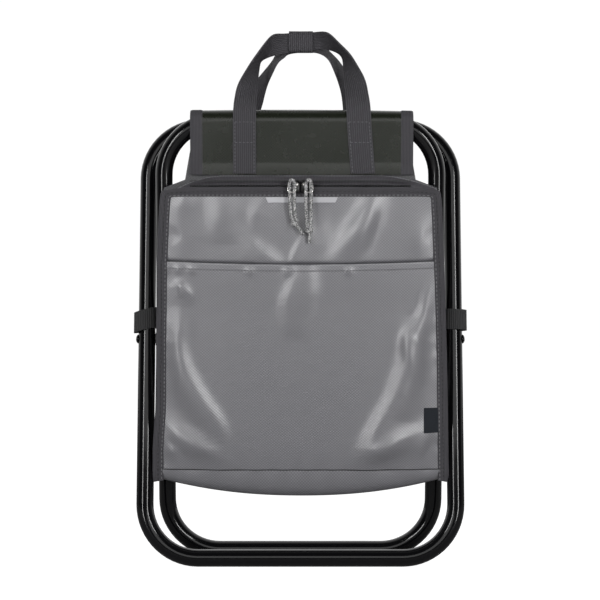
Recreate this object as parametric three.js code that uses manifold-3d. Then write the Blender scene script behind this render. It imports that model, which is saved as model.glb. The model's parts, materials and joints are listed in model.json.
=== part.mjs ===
// Folding cooler stool, folded flat: two crossing tube loops, a tarpaulin seat over their top rails,
// two webbing handles and a cooler bag on the front of the inner loop.
// Millimetres, +Z up, front towards -Y. The origin is the middle of the front foot rail's floor line.
import * as THREE from 'three';
import { mergeVertices } from 'three/addons/utils/BufferGeometryUtils.js';
import Module from 'manifold-3d';

const wasm = await Module();
wasm.setup();

// Frame loops
const TUBE_DIAMETER = 18;
const TUBE_WALL = 1.2;
const TUBE_SIDES = 12;
const REACH = 229; // from the pivot to the middle of each rail
const RAIL_SEPARATION = 56; // between the two top rails while folded
const OUTER_WIDTH = 325; // between the centres of the outer loop's side tubes
const LOOP_GAP = 2; // between the side tubes of the two loops
const BEND_RADIUS = 56;
const BEND_STEPS = 6;
const BUTT_GAP = 0.4; // where the two ends of a bent tube meet
const FERRULE_LENGTH = 60;
const FERRULE_WALL = 1.5;

// Pivot rivets
const RIVET_DIAMETER = 6;
const RIVET_HEAD_DIAMETER = 9.5;
const RIVET_HEAD_RISE = 2;
const DOME_STEPS = 3;
const RIVET_HOLE_CLEARANCE = 0.3;
const WASHER_DIAMETER = 14;
const WASHER_THICKNESS = 0.9;

// Seat cloth and its flaps
const FIT = 0.35; // between a piece and the piece that it lies on
const SADDLE_CLEARANCE = 0.5; // between a rail and its cloth, which turns past the start of the bend
const SEAT_CLOTH = 1;
const SEAT_WIDTH = 230;
const BINDING_WIDTH = 12.2;
const BINDING_EXTRA = 0.6; // how much thicker the bound edge is
const FLAP_DROP = 52.5; // from the rail's centre to the flap's lower edge
const FLAP_TUCK = 16; // the flap's short inner leg
const SEAT_HALF_LENGTH = 120.5; // from a rail to the seat's middle crease
const CREASE_GAP = 0.8; // between the two halves at the crease

// Webbing handles
const WEB_WIDTH = 25;
const WEB_THICKNESS = 1.4;
const HANDLE_HALF_SPAN = 59.5; // from the middle to each leg's centre line
const HANDLE_RISE = 98;
const HANDLE_OUTER_ROUNDNESS = 2.1;
const HANDLE_INNER_ROUNDNESS = 6;
const HANDLE_STEPS = 12;
const HANDLE_LEAN_START = 9; // the handle leans inwards from this height
const HANDLE_LEAN_END = 72; // and is upright above this one
const HANDLE_FOOT_GAP = 0.95; // from the hinge line to the arch, so that it can swing
const HANDLE_PARTING = 1.5; // from the middle plane to each handle's centre at the top
const STITCH_BELOW_RAIL = 2; // the sewn webbing ends this far below the rail's centre
const SEWN_WEB_MARGIN = 1.5; // from the flap's lower edge to the webbing's end
const WRAP_LENGTH = 25.4;
const WRAP_WALL = 1.2;

// Cooler bag, in the plane of the inner loop
const HANGER_THICKNESS = 0.9;
const HANGER_TOP_INSET = 3; // the hanger's top corners lie inside the seat's edges
const HANGER_FLARE = 6.5; // and its lower corners outside them
const HANGER_OVERLAP = 12; // how far the hanger reaches down behind the bag
const BAG_BELOW_FLAP = 8.5; // from the flap's lower edge to the zip line
const BAG_HEIGHT = 301; // from the zip line to the bottom seam
const BAG_SIDE_CLEARANCE = 1.18; // to the outer loop's side tubes, at the bottom seam
const BAG_MIDDLE_TAPER = 2.5; // how much narrower each half is at the pivots
const BAG_TOP_TAPER = 10; // and at the zip line
const BAG_CORNER_RUN = 29; // the sloped length at each end of the zip line
const BAG_CORNER_DROP = 11;
const BAG_CLOTH = 1;
const FRONT_CLOTH = 1.2;
const FOAM = 4.2;
const LINER = 0.6;
const CAVITY_DEPTH = 14;
const LAYER_GAP = 0.3;
const BACK_PANEL_RISE = 3.5; // the back panel stands this far above the zip line
const BACK_PANEL_DROP = 14; // and reaches this far below the bottom seam
const FOAM_INSET = 12;
const LINER_INSET = 15;
const BAG_BINDING_WIDTH = 10.5;
const TOP_BINDING_WIDTH = 14.8;
const BAG_BINDING_THICKNESS = 2.2;
const POCKET_DROP = 83; // from the zip line to the pocket's hem
const HEM_HEIGHT = 6.5;
const HEM_THICKNESS = 0.5;
const GUSSET_FOLD = 21; // how far a side gusset folds inwards
const GUSSET_CLOTH = 2; // measured along X
const BOTTOM_SAG_MIDDLE = 29;
const BOTTOM_SAG_END = 16;
const BOTTOM_STATIONS = 8;
const BOTTOM_ARC_STEPS = 8;
const RIM_RISE = 7.5; // the top strip's rear edge above the zip line
const RIM_CORNER_DROP = 17;

// Zip
const ZIP_TAPE_WIDTH = 1.9;
const ZIP_TAPE_THICKNESS = 0.8;
const ZIP_COIL_WIDTH = 1.6;
const ZIP_COIL_HEIGHT = 1.8;
const SLIDER_OFFSET = 8.7; // from the middle to each slider
const SLIDER_LENGTH = 9.5;
const SLIDER_HEIGHT = 3.5;
const SLIDER_WIDTH = 7.2;
const LUG_WIDTH = 2.4;
const LUG_WALL = 0.9;
const LUG_HOLE = 2;
const BAIL_WIRE = 1.2;
const BAIL_HALF_WIDTH = 3.5;
const BAIL_LENGTH = 11;
const BAIL_TILT = THREE.MathUtils.degToRad(-16);
const CORD_DIAMETER = 3.3;
const CORD_STEPS = 8;
const CORD_SIDES = 8;
const KNOT_DIAMETER = 7.8;
const STRAND_SPREAD = 2.1; // from the bail's middle to each strand
const STRAND_BOW = 2.3; // from the pull's middle to each strand halfway down
const STRAND_AT_KNOT = 1.7; // from the knot's middle to each strand

// Trim
const TAB_HALF_TOP = 36.6;
const TAB_HALF_BOTTOM = 34.2;
const TAB_BELOW_BINDING = 0.9;
const TAB_HEIGHT = 5.2;
const TRIM_THICKNESS = 0.5;
const LABEL_WIDTH = 13;
const LABEL_HEIGHT = 25.5;
const LABEL_ABOVE_SEAM = 67.4;
const STRAP_WIDTH = 20;
const STRAP_THICKNESS = 1.1;
const STRAP_ABOVE_PIVOT = 9;
const STRAP_WRAP = THREE.MathUtils.degToRad(140); // each way from the tube's outer side
const ARC_STEPS = 10;

// Values worked out from the driving dimensions
const TUBE_RADIUS = TUBE_DIAMETER / 2;
const TUBE_CORNER = TUBE_RADIUS / Math.cos(Math.PI / TUBE_SIDES);
const FOLDED_ANGLE = Math.asin(RAIL_SEPARATION / 2 / REACH);
const RAIL_DROP = REACH * Math.cos(FOLDED_ANGLE);
const PIVOT_Y = RAIL_SEPARATION / 2;
const PIVOT_Z = RAIL_DROP + TUBE_RADIUS;
const RAIL_Z = PIVOT_Z + RAIL_DROP;
const OUTER_HALF = OUTER_WIDTH / 2;
const INNER_HALF = OUTER_HALF - TUBE_DIAMETER - LOOP_GAP;
const SADDLE_RADIUS = TUBE_CORNER + SADDLE_CLEARANCE;
const FLAP_FACE = SADDLE_RADIUS + SEAT_CLOTH;
const SEAT_HALF_WIDTH = SEAT_WIDTH / 2;
const CLOTH_HALF_WIDTH = SEAT_HALF_WIDTH - BINDING_WIDTH - LAYER_GAP;
const SEAT_NEAR = FLAP_FACE + BINDING_EXTRA + FIT; // from a rail's centre to the seat half's near face
const SEAT_FAR = SEAT_NEAR + SEAT_CLOTH;
const WEB_FACE = FLAP_FACE + FIT;
const WEB_CENTRE = WEB_FACE + WEB_THICKNESS / 2;

const BAG_TOP = REACH - FLAP_DROP - BAG_BELOW_FLAP;
const BAG_SEAM = BAG_TOP - BAG_HEIGHT;
const BAG_HALF_SEAM = OUTER_HALF - TUBE_CORNER - BAG_SIDE_CLEARANCE;
const BAG_HALF_MIDDLE = BAG_HALF_SEAM - BAG_MIDDLE_TAPER;
const BAG_HALF_TOP = BAG_HALF_SEAM - BAG_TOP_TAPER;
const POCKET_TOP = BAG_TOP - POCKET_DROP;
const HANGER_HALF_TOP = SEAT_HALF_WIDTH - HANGER_TOP_INSET;
const HANGER_HALF_BOTTOM = SEAT_HALF_WIDTH + HANGER_FLARE;
const BAG_CORNER_START = BAG_HALF_TOP - BAG_CORNER_RUN;
const ZIP_HALF_LENGTH = BAG_CORNER_START;
const BACK_PANEL_REAR = -(TUBE_CORNER + FIT);
const BACK_PANEL_FRONT = BACK_PANEL_REAR - BAG_CLOTH;
const BACK_FOAM_REAR = BACK_PANEL_FRONT - LAYER_GAP;
const BACK_FOAM_FRONT = BACK_FOAM_REAR - FOAM;
const BACK_LINER_REAR = BACK_FOAM_FRONT - LAYER_GAP;
const BACK_LINER_FRONT = BACK_LINER_REAR - LINER;
const FRONT_LINER_REAR = BACK_LINER_FRONT - CAVITY_DEPTH;
const FRONT_LINER_FRONT = FRONT_LINER_REAR - LINER;
const FRONT_FOAM_REAR = FRONT_LINER_FRONT - LAYER_GAP;
const FRONT_FOAM_FRONT = FRONT_FOAM_REAR - FOAM;
const FRONT_PANEL_REAR = FRONT_FOAM_FRONT - LAYER_GAP;
const FRONT_PANEL_FRONT = FRONT_PANEL_REAR - FRONT_CLOTH;
const POCKET_REAR = FRONT_PANEL_FRONT - LAYER_GAP;
const POCKET_FRONT = POCKET_REAR - FRONT_CLOTH;
const BINDING_FRONT = POCKET_REAR - BAG_BINDING_THICKNESS;

const X = new THREE.Vector3(1, 0, 0);
const Y = new THREE.Vector3(0, 1, 0);
const Z = new THREE.Vector3(0, 0, 1);
const ALONG_X = new THREE.Matrix4().makeBasis(Y, Z, X);
const ALONG_Y = new THREE.Matrix4().makeBasis(X, Z, Y.clone().negate());

function material(color, roughness, metalness) {
  return new THREE.MeshStandardMaterial({ color, roughness, metalness });
}

const BLACK_TUBE = material(0x0c0c0d, 0.25, 0.4);
const STEEL = material(0xa9aaad, 0.3, 1);
const GREEN_TARP = material(0x3a3c36, 0.55, 0);
const GREY_TARP = material(0x77777b, 0.45, 0);
const TAPE = material(0x4a484d, 0.8, 0);
const WEBBING = material(0x48474a, 0.85, 0);
const BLACK_WEB = material(0x262626, 0.8, 0);
const BLACK_PLASTIC = material(0x151516, 0.5, 0);
const WHITE_FOAM = material(0xe8e8e4, 0.9, 0);
const SILVER_LINER = material(0xc4c6c8, 0.35, 0);
const LIGHT_TAB = material(0xa6a6aa, 0.5, 0);
const NAVY_LABEL = material(0x23242c, 0.7, 0);
const CORD = material(0x6c6b70, 0.85, 0);

const stool = new THREE.Group();
const innerFrame = new THREE.Group();
innerFrame.position.set(0, PIVOT_Y, PIVOT_Z);
innerFrame.rotation.x = FOLDED_ANGLE;
const outerFrame = new THREE.Group();
outerFrame.position.set(0, PIVOT_Y, PIVOT_Z);
outerFrame.rotation.x = -FOLDED_ANGLE;
stool.add(innerFrame, outerFrame);

function add(parent, name, geometry, look) {
  const mesh = new THREE.Mesh(geometry, look);
  mesh.name = name;
  parent.add(mesh);
  return mesh;
}

function outline(points) {
  return new THREE.Shape(points.map(([a, b]) => new THREE.Vector2(a, b)));
}

// A shape drawn in the Y-Z plane, carried along X.
function slabAlongX(shape, from, to) {
  const options = { depth: to - from, bevelEnabled: false, curveSegments: ARC_STEPS };
  return new THREE.ExtrudeGeometry(shape, options).applyMatrix4(ALONG_X).translate(from, 0, 0);
}

// A shape drawn in the X-Z plane, carried along Y from its rear face to its front face.
function slabAlongY(shape, rear, front) {
  const options = { depth: rear - front, bevelEnabled: false, curveSegments: ARC_STEPS };
  return new THREE.ExtrudeGeometry(shape, options).applyMatrix4(ALONG_Y).translate(0, rear, 0);
}

function box(x0, x1, y0, y1, z0, z1) {
  const geometry = new THREE.BoxGeometry(x1 - x0, y1 - y0, z1 - z0);
  return geometry.translate((x0 + x1) / 2, (y0 + y1) / 2, (z0 + z1) / 2);
}

// A closed solid through rings of points; flatten gives a ring's points in its own plane.
function loft(rings, flatten) {
  if (THREE.ShapeUtils.area(rings[0].map(flatten)) < 0) {
    rings.forEach((ring) => ring.reverse());
  }
  const count = rings[0].length;
  const index = [];
  for (let ring = 0; ring + 1 < rings.length; ring += 1) {
    for (let k = 0; k < count; k += 1) {
      const a = ring * count + k;
      const b = ring * count + ((k + 1) % count);
      index.push(a, b, b + count, a, b + count, a + count);
    }
  }
  const last = (rings.length - 1) * count;
  for (const [a, b, c] of THREE.ShapeUtils.triangulateShape(rings[0].map(flatten), [])) {
    index.push(c, b, a, last + a, last + b, last + c);
  }
  const geometry = new THREE.BufferGeometry().setFromPoints(rings.flat());
  geometry.setIndex(index);
  return geometry;
}

function toSolid(geometry) {
  const bare = new THREE.BufferGeometry().setAttribute('position', geometry.getAttribute('position'));
  bare.setIndex(geometry.index);
  const merged = mergeVertices(bare, 1e-3);
  return new wasm.Manifold(new wasm.Mesh({
    numProp: 3,
    vertProperties: new Float32Array(merged.getAttribute('position').array),
    triVerts: new Uint32Array(merged.index.array),
  }));
}

function toGeometry(solid) {
  const mesh = solid.getMesh();
  const geometry = new THREE.BufferGeometry();
  geometry.setAttribute('position', new THREE.BufferAttribute(mesh.vertProperties, 3));
  geometry.setIndex(new THREE.BufferAttribute(mesh.triVerts, 1));
  return geometry;
}

function cut(geometry, ...tools) {
  return toGeometry(tools.reduce((solid, tool) => solid.subtract(toSolid(tool)), toSolid(geometry)));
}

function join(...geometries) {
  return toGeometry(geometries.map(toSolid).reduce((solid, other) => solid.add(other)));
}

function cylinderAlongX(radius, from, to, sides) {
  const geometry = new THREE.CylinderGeometry(radius, radius, to - from, sides);
  return geometry.rotateZ(Math.PI / 2).translate((from + to) / 2, 0, 0);
}

// A regular polygon given by the distance to its flats, with a flat facing the angle turn.
function polygonPoints(flat, sides, turn) {
  const corner = flat / Math.cos(Math.PI / sides);
  return Array.from({ length: sides }, (_, k) => {
    const angle = turn + ((k + 0.5) * 2 * Math.PI) / sides;
    return new THREE.Vector2(corner * Math.cos(angle), corner * Math.sin(angle));
  });
}

// A rounded rectangle in the X-Z plane that starts and ends at the middle of its top rail.
// Straight runs take one step each and bends take BEND_STEPS.
class LoopPath extends THREE.Curve {
  constructor(halfWidth) {
    super();
    this.stations = [new THREE.Vector3(BUTT_GAP / 2, 0, REACH)];
    const corners = [[1, 1], [1, -1], [-1, -1], [-1, 1]];
    corners.forEach(([sideX, sideZ], corner) => {
      const centreX = sideX * (halfWidth - BEND_RADIUS);
      const centreZ = sideZ * (REACH - BEND_RADIUS);
      for (let k = 0; k <= BEND_STEPS; k += 1) {
        const angle = Math.PI / 2 - (corner + k / BEND_STEPS) * (Math.PI / 2);
        const x = centreX + BEND_RADIUS * Math.cos(angle);
        const z = centreZ + BEND_RADIUS * Math.sin(angle);
        this.stations.push(new THREE.Vector3(x, 0, z));
      }
    });
    this.stations.push(new THREE.Vector3(-BUTT_GAP / 2, 0, REACH));
    this.steps = this.stations.length - 1;
  }

  getUtoTmapping(u) {
    return u;
  }

  getPoint(t, target = new THREE.Vector3()) {
    const place = t * this.steps;
    const start = Math.min(Math.floor(place), this.steps - 1);
    return target.lerpVectors(this.stations[start], this.stations[start + 1], place - start);
  }

  getTangent(t, target = new THREE.Vector3()) {
    const here = Math.round(t * this.steps);
    const before = this.stations[Math.max(here - 1, 0)];
    const at = this.stations[here];
    const after = this.stations[Math.min(here + 1, this.steps)];
    const arriving = at.clone().sub(before).normalize();
    const leaving = after.clone().sub(at).normalize();
    return target.addVectors(arriving, leaving).normalize();
  }
}

function loopTube(halfWidth, turn) {
  const section = new THREE.Shape(polygonPoints(TUBE_RADIUS, TUBE_SIDES, turn));
  section.holes.push(new THREE.Path(polygonPoints(TUBE_RADIUS - TUBE_WALL, TUBE_SIDES, turn)));
  const path = new LoopPath(halfWidth);
  const tube = new THREE.ExtrudeGeometry(section, { steps: path.steps, extrudePath: path });
  const hole = RIVET_DIAMETER / 2 + RIVET_HOLE_CLEARANCE;
  const reach = halfWidth + 2 * TUBE_CORNER;
  return cut(tube, cylinderAlongX(hole, -reach, reach, TUBE_SIDES));
}

function ferrule(turn) {
  const flat = TUBE_RADIUS - TUBE_WALL - LAYER_GAP;
  const section = new THREE.Shape(polygonPoints(flat, TUBE_SIDES, turn));
  section.holes.push(new THREE.Path(polygonPoints(flat - FERRULE_WALL, TUBE_SIDES, turn)));
  return slabAlongX(section, -FERRULE_LENGTH / 2, FERRULE_LENGTH / 2).translate(0, 0, REACH);
}

// Frame loops, each with the ferrule that joins its tube's ends
add(innerFrame, 'inner_frame_tube', loopTube(INNER_HALF, FOLDED_ANGLE), BLACK_TUBE);
add(innerFrame, 'inner_frame_ferrule', ferrule(FOLDED_ANGLE), STEEL);
add(outerFrame, 'outer_frame_tube', loopTube(OUTER_HALF, -FOLDED_ANGLE), BLACK_TUBE);
add(outerFrame, 'outer_frame_ferrule', ferrule(-FOLDED_ANGLE), STEEL);

// A rivet along X: a domed head outside the outer tube and a flat head inside the inner one.
function rivet() {
  const shank = RIVET_DIAMETER / 2;
  const head = RIVET_HEAD_DIAMETER / 2;
  const outside = OUTER_HALF + TUBE_CORNER + LAYER_GAP;
  const inside = INNER_HALF - TUBE_CORNER - LAYER_GAP;
  const dome = Array.from({ length: DOME_STEPS }, (_, k) => {
    const angle = (k / DOME_STEPS) * (Math.PI / 2);
    return [head * Math.cos(angle), outside + RIVET_HEAD_RISE * Math.sin(angle)];
  });
  const profile = [
    [0, inside - RIVET_HEAD_RISE], [head, inside - RIVET_HEAD_RISE], [head, inside], [shank, inside],
    [shank, outside], ...dome, [0, outside + RIVET_HEAD_RISE],
  ].map(([radius, along]) => new THREE.Vector2(radius, along));
  return new THREE.LatheGeometry(profile, 2 * TUBE_SIDES).rotateZ(-Math.PI / 2);
}

function washer() {
  const ring = new THREE.Shape().absarc(0, 0, WASHER_DIAMETER / 2, 0, 2 * Math.PI);
  const hole = new THREE.Path().absarc(0, 0, RIVET_DIAMETER / 2 + RIVET_HOLE_CLEARANCE, 0, 2 * Math.PI);
  ring.holes.push(hole);
  const middle = INNER_HALF + TUBE_RADIUS + LOOP_GAP / 2;
  return slabAlongX(ring, middle - WASHER_THICKNESS / 2, middle + WASHER_THICKNESS / 2);
}

for (const [side, turn] of [['right', 0], ['left', Math.PI]]) {
  const pivot = new THREE.Group();
  pivot.position.set(0, PIVOT_Y, PIVOT_Z);
  pivot.rotation.z = turn;
  stool.add(pivot);
  add(pivot, `pivot_rivet_${side}`, rivet(), BLACK_TUBE);
  add(pivot, `pivot_washer_${side}`, washer(), BLACK_PLASTIC);
}

// Cloth over a rail: a half ring with a long leg at the front and a short leg at the back.
function saddle(thickness) {
  const outside = SADDLE_RADIUS + thickness;
  const shape = new THREE.Shape();
  shape.moveTo(-SADDLE_RADIUS, -FLAP_DROP);
  shape.lineTo(-SADDLE_RADIUS, 0);
  shape.absarc(0, 0, SADDLE_RADIUS, Math.PI, 0, true);
  shape.lineTo(SADDLE_RADIUS, -FLAP_TUCK);
  shape.lineTo(outside, -FLAP_TUCK);
  shape.lineTo(outside, 0);
  shape.absarc(0, 0, outside, 0, Math.PI, false);
  shape.lineTo(-outside, -FLAP_DROP);
  return shape;
}

function sewnWebbing(side) {
  const middle = side * HANDLE_HALF_SPAN;
  const bottom = SEWN_WEB_MARGIN - FLAP_DROP;
  const x0 = middle - WEB_WIDTH / 2;
  return box(x0, x0 + WEB_WIDTH, -WEB_FACE - WEB_THICKNESS, -WEB_FACE, bottom, -STITCH_BELOW_RAIL);
}

// The flap, its two bound edges and the sewn ends of its handle, about its rail.
function flap(parent, prefix) {
  const cloth = slabAlongX(saddle(SEAT_CLOTH), -CLOTH_HALF_WIDTH, CLOTH_HALF_WIDTH);
  add(parent, `${prefix}_flap`, cloth, GREEN_TARP);
  for (const [name, side] of [['left', -1], ['right', 1]]) {
    const x0 = side > 0 ? SEAT_HALF_WIDTH - BINDING_WIDTH : -SEAT_HALF_WIDTH;
    const edge = slabAlongX(saddle(SEAT_CLOTH + BINDING_EXTRA), x0, x0 + BINDING_WIDTH);
    add(parent, `${prefix}_flap_binding_${name}`, edge, TAPE);
    add(parent, `${prefix}_handle_tab_${name}`, sewnWebbing(side), WEBBING);
  }
}

const frontRail = new THREE.Group();
frontRail.position.set(0, 0, REACH);
innerFrame.add(frontRail);
flap(frontRail, 'front');

const rearRail = new THREE.Group();
rearRail.position.set(0, RAIL_SEPARATION, RAIL_Z);
rearRail.rotation.z = Math.PI;
stool.add(rearRail);
flap(rearRail, 'rear');

// One half of the seat hangs from its rail towards the middle crease.
const creaseReach = Math.hypot(SEAT_FAR, SEAT_HALF_LENGTH);
const creaseSpan = (RAIL_SEPARATION - CREASE_GAP) / 2;
const SEAT_FOLDED_ANGLE = Math.asin(creaseSpan / creaseReach) - Math.atan2(SEAT_FAR, SEAT_HALF_LENGTH);

function seatHalf(prefix, railY, turn) {
  const hinge = new THREE.Group();
  hinge.position.set(0, railY, RAIL_Z);
  hinge.rotation.z = turn;
  const lean = new THREE.Group();
  lean.rotation.x = SEAT_FOLDED_ANGLE;
  hinge.add(lean);
  stool.add(hinge);
  const cloth = box(-CLOTH_HALF_WIDTH, CLOTH_HALF_WIDTH, SEAT_NEAR, SEAT_FAR, -SEAT_HALF_LENGTH, 0);
  add(lean, `${prefix}_half`, cloth, GREEN_TARP);
  for (const [name, side] of [['left', -1], ['right', 1]]) {
    const x0 = side > 0 ? SEAT_HALF_WIDTH - BINDING_WIDTH : -SEAT_HALF_WIDTH;
    const edge = box(x0, x0 + BINDING_WIDTH, SEAT_NEAR, SEAT_FAR, -SEAT_HALF_LENGTH, 0);
    add(lean, `${prefix}_binding_${name}`, edge, TAPE);
  }
}

seatHalf('seat_front', 0, 0);
seatHalf('seat_rear', RAIL_SEPARATION, Math.PI);

// The hinge line of each handle, at the top of its sewn webbing
const frontFoot = new THREE.Vector3(0, -WEB_CENTRE - FIT, REACH - STITCH_BELOW_RAIL)
  .applyAxisAngle(X, FOLDED_ANGLE)
  .add(new THREE.Vector3(0, PIVOT_Y, PIVOT_Z));
const rearFoot = new THREE.Vector3(0, RAIL_SEPARATION + WEB_CENTRE + FIT, RAIL_Z - STITCH_BELOW_RAIL);

// Half the width of a superellipse at a share of its height
function superellipse(halfWidth, roundness, share) {
  return halfWidth * (1 - share ** roundness) ** (1 / roundness);
}

// The handle is an arch of webbing that leans inwards from its legs and stands upright at the top.
function handleArch(foot) {
  const inwards = Math.abs(PIVOT_Y - foot.y) - HANDLE_PARTING;
  const edgePoint = (x, z, back) => {
    const depth = inwards * THREE.MathUtils.smoothstep(z, HANDLE_LEAN_START, HANDLE_LEAN_END);
    return new THREE.Vector3(x, depth + back, z + HANDLE_FOOT_GAP);
  };
  const rings = [];
  for (let k = -HANDLE_STEPS; k <= HANDLE_STEPS; k += 1) {
    const side = k < 0 ? -1 : 1;
    const share = Math.sin((1 - Math.abs(k) / HANDLE_STEPS) * (Math.PI / 2));
    const zo = HANDLE_RISE * share;
    const zi = (HANDLE_RISE - WEB_WIDTH) * share;
    const xo = superellipse(HANDLE_HALF_SPAN + WEB_WIDTH / 2, HANDLE_OUTER_ROUNDNESS, share);
    const xi = superellipse(HANDLE_HALF_SPAN - WEB_WIDTH / 2, HANDLE_INNER_ROUNDNESS, share);
    const half = WEB_THICKNESS / 2;
    rings.push([
      edgePoint(side * xo, zo, -half), edgePoint(side * xo, zo, half),
      edgePoint(side * xi, zi, half), edgePoint(side * xi, zi, -half),
    ]);
  }
  return loft(rings, (p) => new THREE.Vector2(p.x, p.y));
}

const frontHandle = new THREE.Group();
frontHandle.position.copy(frontFoot);
stool.add(frontHandle);
add(frontHandle, 'front_handle', handleArch(frontFoot), WEBBING);
const rearHandle = new THREE.Group();
rearHandle.position.copy(rearFoot);
rearHandle.rotation.z = Math.PI;
stool.add(rearHandle);
add(rearHandle, 'rear_handle', handleArch(rearFoot), WEBBING);

// The grip wrap is a band round both handles at the top.
function gripWrap() {
  const halfDepth = HANDLE_PARTING + WEB_THICKNESS / 2 + FIT;
  const bottom = HANDLE_RISE - WEB_WIDTH + HANDLE_FOOT_GAP - 2 * FIT;
  const top = HANDLE_RISE + HANDLE_FOOT_GAP + FIT + rearFoot.z - frontFoot.z;
  const ring = (grow) => [
    [-halfDepth - grow, bottom - grow], [halfDepth + grow, bottom - grow],
    [halfDepth + grow, top + grow], [-halfDepth - grow, top + grow],
  ];
  const shape = outline(ring(WRAP_WALL));
  shape.holes.push(new THREE.Path(ring(0).map(([a, b]) => new THREE.Vector2(a, b))));
  return slabAlongX(shape, -WRAP_LENGTH / 2, WRAP_LENGTH / 2).translate(0, PIVOT_Y - frontFoot.y, 0);
}
add(frontHandle, 'grip_wrap', gripWrap(), WEBBING);

// Half the bag's width at a height above the pivot
function bagHalf(z) {
  if (z > 0) {
    return THREE.MathUtils.lerp(BAG_HALF_MIDDLE, BAG_HALF_TOP, z / BAG_TOP);
  }
  return THREE.MathUtils.lerp(BAG_HALF_MIDDLE, BAG_HALF_SEAM, z / BAG_SEAM);
}

// One upright edge of a bag panel from its top to its bottom, drawn in by an inset.
function bagEdge(top, bottom, inset) {
  const heights = top > 0 && bottom < 0 ? [top, 0, bottom] : [top, bottom];
  return heights.map((z) => [bagHalf(z) - inset, z]);
}

function mirrored(right) {
  return outline([...right, ...right.map(([x, z]) => [-x, z]).reverse()]);
}

function bagPanel(top, bottom, inset, rear, front) {
  return slabAlongY(mirrored(bagEdge(top, bottom, inset)), rear, front);
}

// A panel that reaches the zip line and slopes down at its two top corners
function sewnPanel(top, bottom, inset, rear, front) {
  const right = [[BAG_CORNER_START, top], ...bagEdge(top - BAG_CORNER_DROP, bottom, inset)];
  return slabAlongY(mirrored(right), rear, front);
}

const foamTop = BAG_TOP - FOAM_INSET;
const foamBottom = BAG_SEAM + LAYER_GAP;
const backTop = BAG_TOP + BACK_PANEL_RISE;
const backBottom = BAG_SEAM - BACK_PANEL_DROP;
const backPanel = sewnPanel(backTop, backBottom, LAYER_GAP, BACK_PANEL_REAR, BACK_PANEL_FRONT);
add(innerFrame, 'bag_back_panel', backPanel, TAPE);
const backFoam = bagPanel(foamTop, foamBottom, FOAM_INSET, BACK_FOAM_REAR, BACK_FOAM_FRONT);
add(innerFrame, 'bag_back_foam', backFoam, WHITE_FOAM);
const backLiner = bagPanel(foamTop, foamBottom, LINER_INSET, BACK_LINER_REAR, BACK_LINER_FRONT);
add(innerFrame, 'bag_back_liner', backLiner, SILVER_LINER);
const frontLiner = bagPanel(foamTop, foamBottom, LINER_INSET, FRONT_LINER_REAR, FRONT_LINER_FRONT);
add(innerFrame, 'bag_front_liner', frontLiner, SILVER_LINER);
const frontFoam = bagPanel(foamTop, foamBottom, FOAM_INSET, FRONT_FOAM_REAR, FRONT_FOAM_FRONT);
add(innerFrame, 'bag_front_foam', frontFoam, WHITE_FOAM);
const frontPanel = sewnPanel(BAG_TOP, BAG_SEAM, 0, FRONT_PANEL_REAR, FRONT_PANEL_FRONT);
add(innerFrame, 'bag_front_panel', frontPanel, GREY_TARP);
const pocketInset = BAG_BINDING_WIDTH + LAYER_GAP;
const pocket = bagPanel(POCKET_TOP, BAG_SEAM, pocketInset, POCKET_REAR, POCKET_FRONT);
add(innerFrame, 'bag_pocket_panel', pocket, GREY_TARP);
const hemRear = POCKET_FRONT - LAYER_GAP;
const hem = bagPanel(POCKET_TOP, POCKET_TOP - HEM_HEIGHT, pocketInset, hemRear, hemRear - HEM_THICKNESS);
add(innerFrame, 'bag_pocket_hem', hem, GREY_TARP);

// The hanger panel carries the bag from the back of the front flap.
const bendInside = BEND_RADIUS - TUBE_CORNER - FIT;
const hangerPastBend = HANGER_HALF_TOP - (INNER_HALF - BEND_RADIUS);
const hangerTop = REACH - BEND_RADIUS + Math.sqrt(bendInside ** 2 - hangerPastBend ** 2);
const hangerBottom = BAG_TOP - HANGER_OVERLAP;
const hangerOutline = outline([
  [HANGER_HALF_TOP, hangerTop], [HANGER_HALF_BOTTOM, hangerBottom],
  [-HANGER_HALF_BOTTOM, hangerBottom], [-HANGER_HALF_TOP, hangerTop],
]);
const hangerFront = BACK_PANEL_REAR + LAYER_GAP;
add(innerFrame, 'hanger_panel', slabAlongY(hangerOutline, hangerFront + HANGER_THICKNESS, hangerFront), TAPE);

// Binding tape on the left, top and right edges of the bag's front
const bindingTop = BAG_TOP - LAYER_GAP;
const bindingBottom = bindingTop - TOP_BINDING_WIDTH;
const sideTop = bindingBottom - BAG_CORNER_DROP - LAYER_GAP;
for (const [name, side] of [['left', -1], ['right', 1]]) {
  const outer = bagEdge(sideTop, BAG_SEAM, 0).map(([x, z]) => [side * x, z]);
  const inner = bagEdge(sideTop, BAG_SEAM, BAG_BINDING_WIDTH).map(([x, z]) => [side * x, z]);
  const strip = outline([...outer, ...inner.reverse()]);
  add(innerFrame, `bag_binding_${name}`, slabAlongY(strip, POCKET_REAR, BINDING_FRONT), TAPE);
}
const topBinding = mirrored([
  [BAG_CORNER_START, bindingTop],
  ...bagEdge(bindingTop - BAG_CORNER_DROP, bindingBottom - BAG_CORNER_DROP, 0),
  [BAG_CORNER_START, bindingBottom],
]);
add(innerFrame, 'bag_binding_top', slabAlongY(topBinding, POCKET_REAR, BINDING_FRONT), TAPE);

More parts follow.
